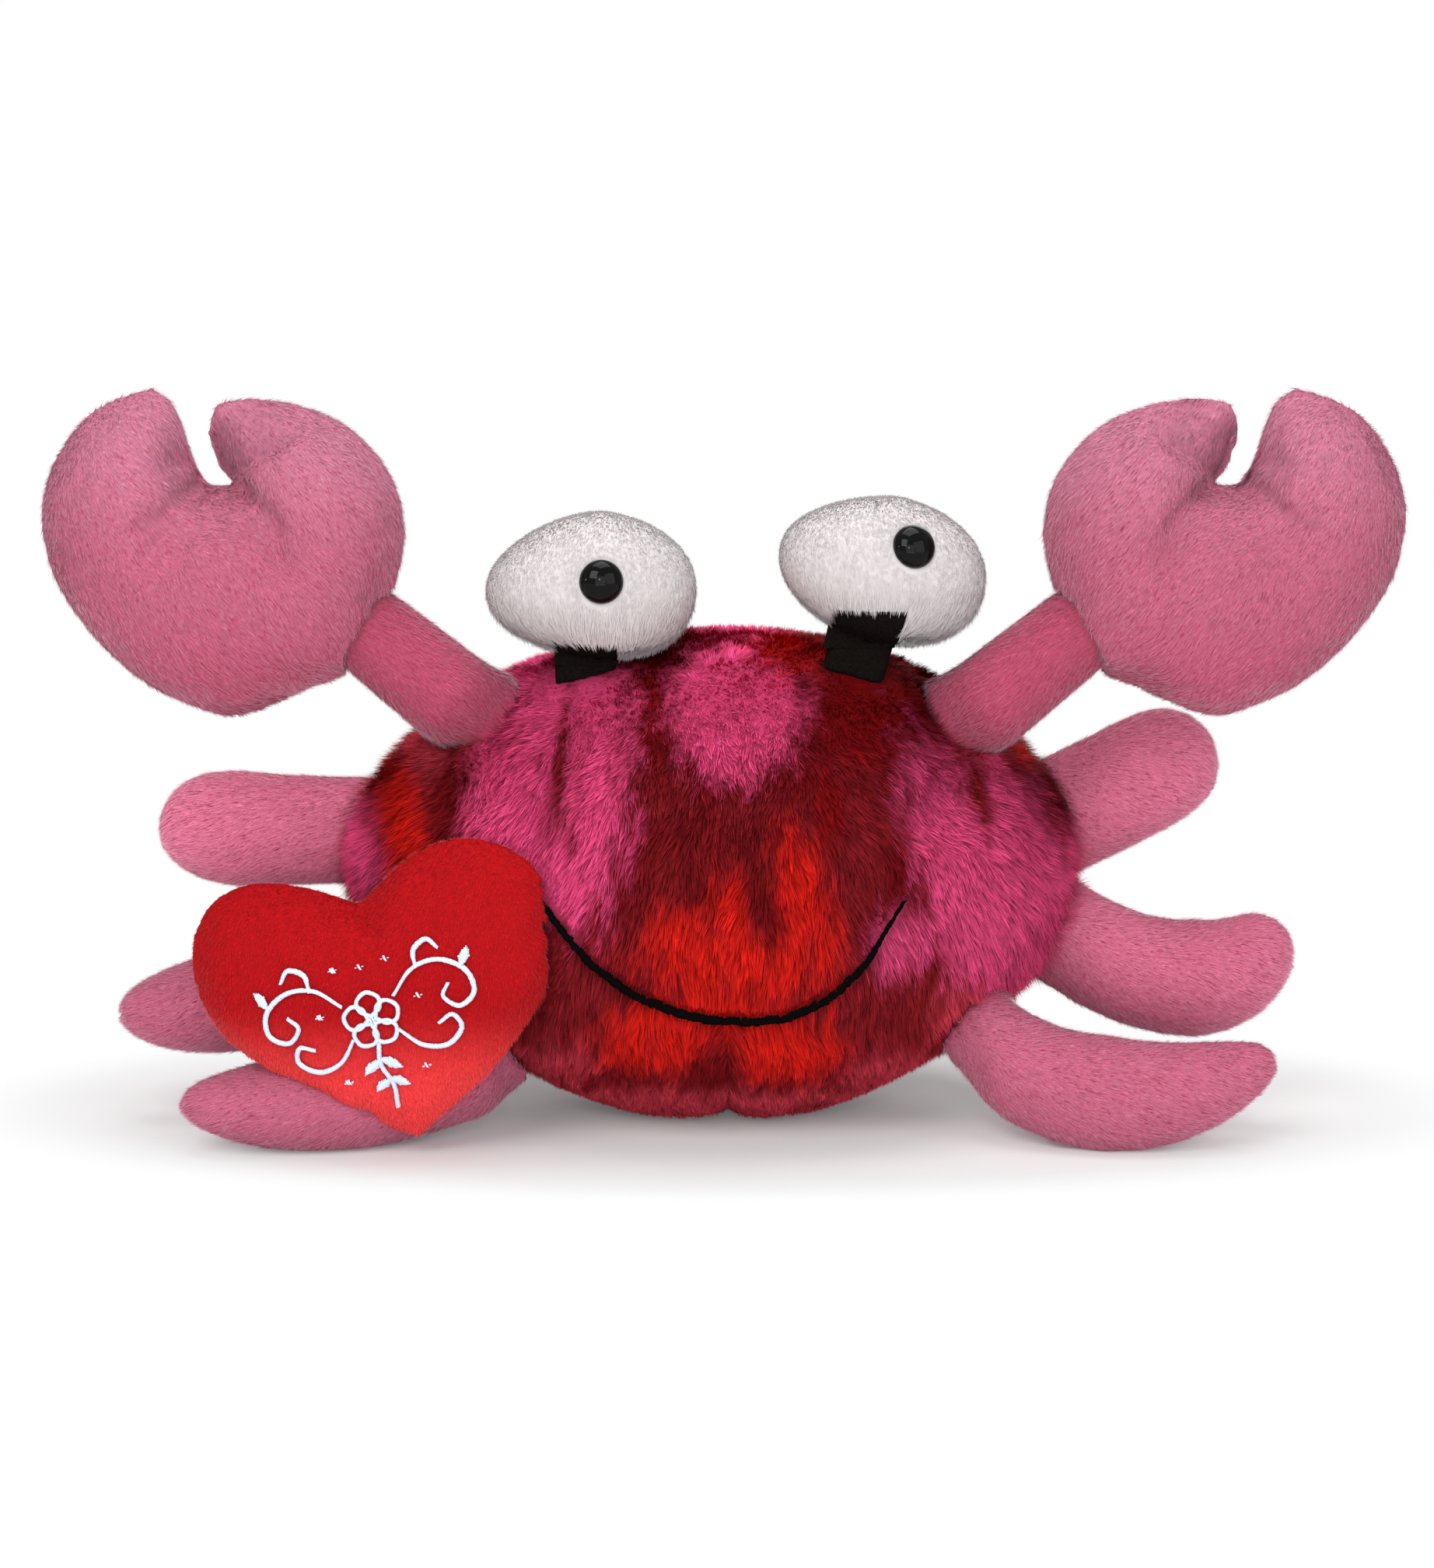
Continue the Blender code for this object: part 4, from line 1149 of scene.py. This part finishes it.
def build_tab(side, skin, material):
    """The end of the felt strap, sewn on the front of the eye's underside."""
    tree = tree_of(skin)
    points = points_of(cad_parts[f"eye_stalk_{side}"])
    top = points[points[:, 2] > np.quantile(points[:, 2], 0.6)]
    left, right = points[:, 0].min(), points[:, 0].max()
    foot = top[:, 2].min() - TAB_DROP
    height = top[:, 2].max() - foot + TAB_HEIGHT[side] * MM
    grid, faces = [], []
    for row in range(TAB_STEPS + 1):
        for column in range(TAB_STEPS + 1):
            rise = height * row / TAB_STEPS
            x = left + (right - left) * column / TAB_STEPS + TAB_SLANT[side] * rise
            z = foot + rise
            place, facing = met_from_front(tree, x, z)
            if place is None:
                place = Vector((x, top[:, 1].min(), z))
                facing = Vector((0, -1, 0))
            place.y = min(place.y, top[:, 1].min() + TAB_BEHIND)
            grid.append(tuple(place + facing * TAB_LIFT))
    for row in range(TAB_STEPS):
        for column in range(TAB_STEPS):
            first = row * (TAB_STEPS + 1) + column
            faces.append((first, first + 1, first + TAB_STEPS + 2, first + TAB_STEPS + 1))
    return add_surface(f"eye_stalk_{side}_end", grid, faces, material)


def build_eye(side, cloth, pile, felt, pupil):
    """A white plush egg, with longer plush on its lower half."""
    node = f"eyeball_{side}"
    skin = build_skin(node, "eye")
    low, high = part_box(node)
    middle = (low.z + high.z) / 2

    def hang(roots):
        return 1 + EYE_FRINGE * smoothstep(*EYE_FRINGE_HEIGHTS, roots[:, 2] - middle)

    finish_skin(skin, one_dye(skin, EYE_WHITE), cloth, node)
    tab = build_tab(side, skin, felt)
    build_nap(
        skin, node + "_nap", "eye", EYE_NAP_COUNT, (0.0, -0.6, -0.8), EYE_WHITE, pile, "eye_plush",
        SEEDS[node], others=tree_of(pupil, tab), lengths=hang,
        cut=tree_of(tab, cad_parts[f"eye_stalk_{side}"]),
    )
    return skin


def turned(profile, segments):
    """A closed turned form from (radius, height) pairs, foot first, about its own Z."""
    mesh = bmesh.new()
    rings = []
    for radius, height in profile:
        if radius == 0.0:
            rings.append([mesh.verts.new((0.0, 0.0, height))])
            continue
        ring = []
        for step in range(segments):
            angle = 2 * math.pi * step / segments
            ring.append(mesh.verts.new((radius * math.cos(angle), radius * math.sin(angle), height)))
        rings.append(ring)
    for lower, upper in zip(rings[:-1], rings[1:]):
        for step in range(segments):
            after = (step + 1) % segments
            if len(lower) == 1:
                mesh.faces.new((lower[0], upper[after], upper[step]))
            elif len(upper) == 1:
                mesh.faces.new((lower[step], lower[after], upper[0]))
            else:
                mesh.faces.new((lower[step], lower[after], upper[after], upper[step]))
    return mesh


PUPIL_RADIUS = 0.00515
PUPIL_DOME = 0.0036
PUPIL_RIM = 0.0009
PUPIL_LIFT = 0.0006
PUPIL_SEGMENTS = 64
DOME_STEPS = 14


def pupil_axis(side):
    """The middle of the pupil's rim, and the way that it looks, read off its solid."""
    points = points_of(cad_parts[f"pupil_{side}"])
    centred = points - points.mean(axis=0)
    axis = np.linalg.svd(centred, full_matrices=False)[2][0]
    if axis[1] > 0:
        axis = -axis
    along = centred @ axis
    foot = along.max() - PUPIL_DOME - PUPIL_RIM
    return points.mean(axis=0) + axis * foot, axis


UP_AXIS = Vector((0.0, 0.0, 1.0))


def build_pupil(side, material):
    """A polished black dome with a rolled rim."""
    place, axis = pupil_axis(side)
    profile = [(0.0, 0.0), (PUPIL_RADIUS * 0.94, 0.0), (PUPIL_RADIUS, PUPIL_RIM * 0.5)]
    for step in range(DOME_STEPS + 1):
        turn = math.pi / 2 * step / DOME_STEPS
        radius = PUPIL_RADIUS * math.cos(turn) if step < DOME_STEPS else 0.0
        profile.append((radius, PUPIL_RIM + PUPIL_DOME * math.sin(turn)))
    form = turned(profile, PUPIL_SEGMENTS)
    turn = UP_AXIS.rotation_difference(Vector(axis)).to_matrix().to_4x4()
    turn.translation = Vector(place + axis * PUPIL_LIFT)
    form.transform(turn)
    mesh = bpy.data.meshes.new(f"pupil_{side}_dome")
    form.to_mesh(mesh)
    form.free()
    mesh.shade_smooth()
    piece = add_piece(f"pupil_{side}_dome", mesh, material)
    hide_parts(f"pupil_{side}")
    return piece


def build_stalk(side, material):
    """A flat strap of felt."""
    node = f"eye_stalk_{side}"
    skin = build_skin(node, "stalk")
    skin.data.materials.append(material)
    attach(skin, "root")
    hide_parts(node)
    return skin


# Thread


# Across a stitch: share of its half width, and height as a share of its rise
STITCH_PROFILE = ((-1.0, -0.4), (-0.72, 0.62), (0.0, 1.0), (0.72, 0.62), (1.0, -0.4))
STITCH_OVERLAP = 0.62
STITCH_CROWN = 0.35


def satin(path, normals, widths, pitch, slant, rise, uneven=0.1):
    """Slanted stitches laid side by side across a path: points and faces."""
    path, normals = np.array(path), np.array(normals)
    runs = np.linalg.norm(np.diff(path, axis=0), axis=1)
    at = np.concatenate([[0.0], np.cumsum(runs)])
    count = max(3, int(at[-1] / pitch))
    stops = np.linspace(0.0, at[-1], count)
    where = np.stack([np.interp(stops, at, path[:, i]) for i in range(3)], axis=1)
    facing = unit(np.stack([np.interp(stops, at, normals[:, i]) for i in range(3)], axis=1))
    wide = np.interp(stops, at, widths)
    along = lay(facing, np.gradient(where, axis=0))
    across = np.cross(along, facing)
    points, faces = [], []
    rng = np.random.default_rng(count)
    for i in range(count):
        half = wide[i] / 2 * rng.uniform(1 - uneven, 1 + uneven)
        way = across[i] * math.cos(slant) + along[i] * math.sin(slant)
        thick = along[i] * pitch * STITCH_OVERLAP
        first = len(points)
        for share, height in STITCH_PROFILE:
            middle = where[i] + way * half * share + facing[i] * rise * height
            crown = middle + facing[i] * rise * STITCH_CROWN
            points.extend([middle - thick, crown, middle + thick])
        for row in range(len(STITCH_PROFILE) - 1):
            for column in range(2):
                a = first + row * 3 + column
                faces.append((a, a + 1, a + 4, a + 3))
    return points, faces


def build_thread(name, parts, material):
    """One piece from several runs of stitches."""
    points, faces = [], []
    for own, own_faces in parts:
        faces.extend([tuple(i + len(points) for i in face) for face in own_faces])
        points.extend(own)
    return add_surface(name, points, faces, material)


def build_smile(line, body_tree, material):
    """The stitched smile, laid in the fur."""
    path, normals, widths = [], [], []
    for share, point in zip(np.linspace(0.0, 1.0, len(line)), line):
        place, facing, _, _ = body_tree.find_nearest(Vector(point))
        path.append(np.array(place) + np.array(facing) * SMILE_RISE)
        normals.append(np.array(facing))
        swell = SMILE_ENDS + SMILE_SWELL * math.sin(math.pi * share)
        thin = 1.0 - SMILE_THIN * smoothstep(*SMILE_THINNING, share)
        widths.append(SMILE_WIDTH * swell * thin)
    run = satin(path, normals, widths, SMILE_PITCH, math.radians(SMILE_SLANT), SMILE_CROWN, SMILE_UNEVEN)
    piece = build_thread("smile_stitching", [run], material)
    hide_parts("mouth")
    return piece


# Heart

HEART_NAP_COUNT = 56000
# Painted light on the heart's lower tip: where it has faded out, as a share of the height, and how far
# up it is full
HEART_LIT_TIP_SHARE = 0.48
HEART_LIT_TIP_FULL = 0.012
# Painted shade: the heart's cloth under its nap is darker
HEART_BACKING_SHADE = 0.85
HEART_TILT = 13.5
MOTIF_MIDDLE = (-81.0, 36.0)
MOTIF_LIFT = 0.0008
MOTIF_WIDTH = 1.15
MOTIF_PITCH = 0.0004
MOTIF_SLANT = 18.0
MOTIF_RISE = 0.0005
THREAD_LEAST = 0.25
PETAL_STEPS = 7
LINE_STEPS = 8
LEAF_STEPS = 12
VINE_ENDS = 0.7
VINE_SWELL = 0.45
PETAL_SHARE = 0.9
PETAL_COUNT = 5
PETAL = ((0.0, 0.9), (2.3, 2.6), (2.5, 5.0), (0.0, 6.6), (-2.5, 5.0), (-2.3, 2.6), (0.0, 0.9))
FLOWER_EYE = 0.95
# Motif lines in millimetres across and up from its middle, on the right half; the left mirrors them
VINES = (
    ((6.2, 4.6), (11.5, 9.4), (18.0, 10.2), (23.6, 6.6), (24.4, 1.2), (20.4, -1.4), (17.2, 1.6),
     (19.0, 4.4)),
    ((5.4, -3.6), (9.6, -8.4), (15.2, -9.8), (19.4, -6.6), (18.2, -3.0), (14.8, -4.2)),
    ((12.6, 9.6), (13.0, 13.4), (16.4, 15.2), (18.6, 12.8)),
)
STEM = ((0.0, -5.6), (-0.9, -10.8), (0.6, -16.2), (0.0, -22.0))
# Leaves: foot, way in degrees and length
LEAVES = (
    ((-0.6, -9.4), 215, 5.2), ((-0.6, -9.4), -35, 5.2), ((0.4, -14.6), 212, 4.4),
    ((0.4, -14.6), -32, 4.4), ((23.0, 7.6), 62, 4.6), ((-23.0, 7.6), 118, 4.6),
)
LEAF_WIDTH = 2.3
LEAF_END = 0.3
DOTS = ((0.0, 12.4), (6.2, 13.0), (-6.2, 13.0), (11.6, 3.2), (-11.6, 3.2), (9.2, -13.6), (-9.2, -13.6))
DOT_RADIUS = 0.8


def smooth_line(corners, steps):
    """A rounded line through these corners."""
    corners = [np.array(c, float) for c in corners]
    ends = [2 * corners[0] - corners[1], *corners, 2 * corners[-1] - corners[-2]]
    line = []
    for a, b, c, d in zip(ends[:-3], ends[1:-2], ends[2:-1], ends[3:]):
        for step in range(steps):
            t = step / steps
            line.append(
                0.5 * (2 * b + (c - a) * t + (2 * a - 5 * b + 4 * c - d) * t**2
                       + (3 * b - a - 3 * c + d) * t**3)
            )
    line.append(corners[-1])
    return line


def swelling(width, ends=0.0):
    """A width that is full in the middle of a line and this much wider all along."""
    return lambda share: width * math.sin(math.pi * share) + ends


def motif_lines():
    """Each line of the motif with its widths, in millimetres."""

    def vine_width(share):
        return MOTIF_WIDTH * (VINE_ENDS + VINE_SWELL * math.sin(math.pi * share))

    lines = []
    for number in range(PETAL_COUNT):
        turn = 2 * math.pi * number / PETAL_COUNT
        cos, sin = math.cos(turn), math.sin(turn)
        petal = [(x * cos - z * sin, x * sin + z * cos) for x, z in PETAL]
        lines.append((smooth_line(petal, PETAL_STEPS), lambda share: MOTIF_WIDTH * PETAL_SHARE))
    for vine in VINES:
        for sign in (1, -1):
            line = smooth_line([(sign * x, z) for x, z in vine], LINE_STEPS)
            lines.append((line, vine_width))
    lines.append((smooth_line(STEM, LINE_STEPS), lambda share: MOTIF_WIDTH))
    for (x, z), way, length in LEAVES:
        way = math.radians(way)
        tip = (x + length * math.cos(way), z + length * math.sin(way))
        lines.append((smooth_line(((x, z), tip), LEAF_STEPS), swelling(LEAF_WIDTH, LEAF_END)))
    for x, z in DOTS:
        ends = ((x - DOT_RADIUS, z), (x + DOT_RADIUS, z))
        lines.append((smooth_line(ends, LINE_STEPS), swelling(2 * DOT_RADIUS)))
    ends = ((-FLOWER_EYE, 0.0), (FLOWER_EYE, 0.0))
    lines.append((smooth_line(ends, LINE_STEPS), swelling(2 * FLOWER_EYE)))
    return lines


def build_motif(heart_tree, material):
    """Flower and scrolls stitched on the heart's front."""
    turn = math.radians(HEART_TILT)
    runs = []
    for line, width in motif_lines():
        path, normals, widths = [], [], []
        for number, (across, up) in enumerate(line):
            x = (MOTIF_MIDDLE[0] + across * math.cos(turn) - up * math.sin(turn)) * MM
            z = (MOTIF_MIDDLE[1] + across * math.sin(turn) + up * math.cos(turn)) * MM
            place, facing = met_from_front(heart_tree, x, z)
            if place is None:
                continue
            path.append(np.array(place) + np.array(facing) * MOTIF_LIFT)
            normals.append(np.array(facing))
            widths.append(max(width(number / (len(line) - 1)), THREAD_LEAST) * MM)
        runs.append(satin(path, normals, widths, MOTIF_PITCH, math.radians(MOTIF_SLANT), MOTIF_RISE))
    return build_thread("heart_embroidery", runs, material)


# Where each shift starts and is full, in x, and the shift
HEART_EASES = (
    ((-0.072, -0.046), (0.004, -0.0038, 0.0)),
    ((-0.09, -0.114), (-0.0014, 0.0, 0.0)),
)


def ease_heart(skin):
    """The lobe over the body rests on the fur and stands off the cloth, and both lobes fill out."""
    points = points_of(skin)
    for (start, end), shift in HEART_EASES:
        share = smoothstep(start, end, points[:, 0])
        move_points(skin, share[:, None] * np.array(shift))


def build_heart(cloth, pile, thread):
    """The red velour heart with its stitched motif."""
    skin = build_skin("heart", "heart")
    stuff(skin, ACROSS)
    press_seam(skin, ACROSS)
    ease_heart(skin)
    low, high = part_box("heart")
    tip_height = low.z + (high.z - low.z) * HEART_LIT_TIP_SHARE

    # Painted light: lighter red towards the heart's lower tip
    def colour(roots):
        return mix(HEART_LIT_TIP_RED, HEART_RED, smoothstep(low.z + HEART_LIT_TIP_FULL, tip_height, roots[:, 2]))

    points = points_of(skin)
    finish_skin(skin, colour(points) * HEART_BACKING_SHADE, cloth, "heart")
    motif = build_motif(tree_of(skin), thread)
    build_nap(
        skin, "heart_nap", "heart", HEART_NAP_COUNT, (0.1, 0.0, -1.0), colour, pile, "heart_plush",
        SEEDS["heart"], face=ACROSS, others=tree_of(motif),
    )
    return skin


# Stage

PAPER_WHITE = (0.86, 0.86, 0.86)
# The floor turns white from near to far of the crab, and less quickly to its sides
FLOOR_HALF = 6.0
FLOOR_LIFT = 0.2
FLOOR_SHADE = 0.48
FLOOR_NEAR = 0.054
FLOOR_FAR = 0.088
FLOOR_WIDE = 0.45
SKY_STRENGTH = 0.45
# Lamps: place, size, power
LAMPS = {
    "key": ((-0.5, -0.95, 0.9), 0.7, 9.5),
    "front": ((0.1, -1.3, 0.35), 0.9, 5.5),
    "fill": ((0.8, -0.8, 0.5), 0.8, 3.8),
    "top": ((0.05, 0.05, 1.2), 0.9, 9.5),
    "back": ((0.2, 1.2, 0.6), 0.9, 6.0),
    "spark_high": ((-0.9, -0.45, 0.35), 0.06, 0.5),
    "spark_front": ((0.02, -0.95, 0.42), 0.06, 0.5),
}
LAMP_AIM = (0.0, 0.0, 0.07)


def direct_rays(tree, *kinds):
    """1 for rays of any of these kinds, 0 for the others."""
    seen = add_node(tree, "LightPath")
    direct = add_node(tree, "Math", "MAXIMUM")
    for number, kind in enumerate(kinds):
        tree.links.new(seen.outputs[kind], direct.inputs[number])
    return direct.outputs[0]


def mix_shaders(tree, share, first, second, end):
    """Sends the first shader, and the second by its share, to the end of the tree."""
    joined = add_node(tree, "MixShader")
    for source, socket in ((share, "Fac"), (first, 1), (second, 2)):
        tree.links.new(source, joined.inputs[socket])
    tree.links.new(joined.outputs["Shader"], tree.nodes[end].inputs["Surface"])


def build_stage():
    """A plain white floor that keeps the crab's shadow and turns pure white further off."""
    mesh = bpy.data.meshes.new("floor")
    corners = [(x, y, 0.0) for x, y in ((-1, -1), (1, -1), (1, 1), (-1, 1))]
    mesh.from_pydata([tuple(FLOOR_HALF * c for c in corner) for corner in corners], [], [(0, 1, 2, 3)])
    floor = new_object("floor", mesh)
    material, tree, paper = new_material("white_paper", 0.9)
    paper.inputs["Base Color"].default_value = (*PAPER_WHITE, 1.0)
    place = add_node(tree, "TexCoord")
    narrowed = add_node(tree, "VectorMath", "MULTIPLY")
    narrowed.inputs[1].default_value = (FLOOR_WIDE, 1.0, 1.0)
    length = add_node(tree, "VectorMath", "LENGTH")
    far = add_node(tree, "MapRange")
    far.interpolation_type = "SMOOTHSTEP"
    far.inputs["From Min"].default_value = FLOOR_NEAR
    far.inputs["From Max"].default_value = FLOOR_FAR
    far.inputs["To Min"].default_value = FLOOR_LIFT
    share = add_node(tree, "Math", "MULTIPLY")
    white = add_node(tree, "Emission")
    shade = add_node(tree, "MapRange")
    shade.inputs["From Min"].default_value = FLOOR_LIFT
    shade.inputs["To Min"].default_value = FLOOR_SHADE
    tree.links.new(far.outputs["Result"], shade.inputs["Value"])
    tree.links.new(shade.outputs["Result"], white.inputs["Strength"])
    tree.links.new(place.outputs["Object"], narrowed.inputs[0])
    tree.links.new(narrowed.outputs["Vector"], length.inputs[0])
    tree.links.new(length.outputs["Value"], far.inputs["Value"])
    tree.links.new(far.outputs["Result"], share.inputs[0])
    tree.links.new(direct_rays(tree, "Is Camera Ray", "Is Glossy Ray"), share.inputs[1])
    mix_shaders(
        tree, share.outputs[0], paper.outputs["BSDF"], white.outputs["Emission"], "Material Output"
    )
    floor.data.materials.append(material)


def build_world():
    """Even light from all round, and white behind the crab."""
    world = bpy.data.worlds.new("studio")
    bpy.context.scene.world = world
    world.use_nodes = True
    tree = world.node_tree
    light = tree.nodes["Background"]
    light.inputs["Color"].default_value = (1.0, 1.0, 1.0, 1.0)
    light.inputs["Strength"].default_value = SKY_STRENGTH
    white = add_node(tree, "Background")
    white.inputs["Color"].default_value = (1.0, 1.0, 1.0, 1.0)
    seen = direct_rays(tree, "Is Camera Ray", "Is Transmission Ray")
    mix_shaders(tree, seen, light.outputs["Background"], white.outputs["Background"], "World Output")


def build_lamps():
    """Large soft boxes round the crab, and two small lamps that give the pupils their sparks."""
    for name, (place, size, power) in LAMPS.items():
        lamp = bpy.data.lights.new(name, "AREA")
        lamp.size = size
        lamp.energy = power
        holder = new_object(name, lamp)
        holder.location = place
        aim = Vector(LAMP_AIM) - Vector(place)
        holder.rotation_euler = aim.to_track_quat("-Z", "Y").to_euler()


def build_camera():
    """The photograph's view."""
    camera = bpy.data.cameras.new("camera")
    camera.lens = CAMERA_LENS
    camera.sensor_width = CAMERA_SENSOR
    camera.clip_end = CAMERA_END
    holder = new_object("camera", camera)
    holder.location = CAMERA_PLACE
    holder.rotation_euler = (math.radians(90.0 - CAMERA_PITCH), 0.0, 0.0)
    bpy.context.scene.camera = holder


def build_limbs(cloth, pile, body_tree):
    """Claws, arms and legs."""
    skins = []
    for side, sign in SIDES.items():
        skins.append(build_claw(side, cloth, pile))
        skins.append(
            build_limb(
                f"arm_{side}", ARM_NAP_COUNT, (-sign * 0.77, -0.1, -0.64), (-sign * 0.77, 0.0, -0.64),
                ARM_SHADED_PINK, cloth, pile, body_tree,
            )
        )
    for node in LEGS:
        sign = SIDES[node.rsplit("_", 1)[1]]
        skins.append(
            build_limb(
                node, LEG_NAP_COUNT, (sign, -0.1, -0.3), (-sign, 0.0, 0.0),
                np.array(NAP_PINK) * LEG_PAINTED_LIGHT.get(node, 1.0), cloth, pile, body_tree,
            )
        )
    return skins


def build_eyes(cloth, pile, plastic, nylon, felt):
    """Eyeballs with their pupils, the washers that hold them, and the felt sewn to them."""
    eyes = []
    for side in SIDES:
        pupil = build_pupil(side, plastic)
        eyes.append(build_eye(side, cloth, pile, felt, pupil))
        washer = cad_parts[f"pupil_washer_{side}"]
        washer.data.materials.clear()
        washer.data.materials.append(nylon)
    return eyes


def main():
    """Lights and camera first, then the crab, from its cloth outwards to its fur."""
    bpy.context.scene.view_settings.view_transform = "Standard"
    build_camera()
    build_stage()
    build_world()
    build_lamps()
    fur = pile_material("body_fur")
    limb_pile = pile_material("limb_nap")
    heart_pile = pile_material("heart_nap")
    eye_pile = pile_material("eye_nap")
    backing = cloth_material("knit_backing", darkest=0.62, strength=0.6)
    white_backing = cloth_material("white_backing", darkest=0.95, strength=0.15)
    felt = grained_material("black_felt")
    plastic = grained_material("polished_plastic")
    nylon = grained_material("washer_nylon")
    body = build_skin("body", "body")
    press_line(body, metres(BELLY_SEAM), BELLY_SEAM_DEPTH, BELLY_SEAM_WIDTH)
    body_points = points_of(body)
    aside = smoothstep(*LIFTED_FROM, np.abs(body_points[:, 0]))
    aside = aside * (1 - smoothstep(*LIFTED_BELOW, body_points[:, 2]))
    move_points(body, UPWARD * (aside * LIFT)[:, None])
    body_points = points_of(body)
    # Painted shade: the cloth under the fur takes darker dyes, as the shade among the fibres
    dyes = dye_cloth(body_points, SEEDS["body_backing"]) * BODY_BACKING_SHADE
    finish_skin(body, dyes, backing, "body")
    body_tree = tree_of(body)
    skins = build_limbs(backing, limb_pile, body_tree)
    stalks = [build_stalk(side, felt) for side in SIDES]
    eyes = build_eyes(white_backing, eye_pile, plastic, nylon, felt)
    white_thread = grained_material("white_thread")
    heart = build_heart(backing, heart_pile, white_thread)
    line = solid_line("mouth", SMILE_STEPS)
    others = tree_of(*skins, heart, *stalks, *eyes)
    build_body_fur(body, others, tree_of(heart, *stalks), line, fur)
    build_smile(line, body_tree, grained_material("black_thread"))


main()
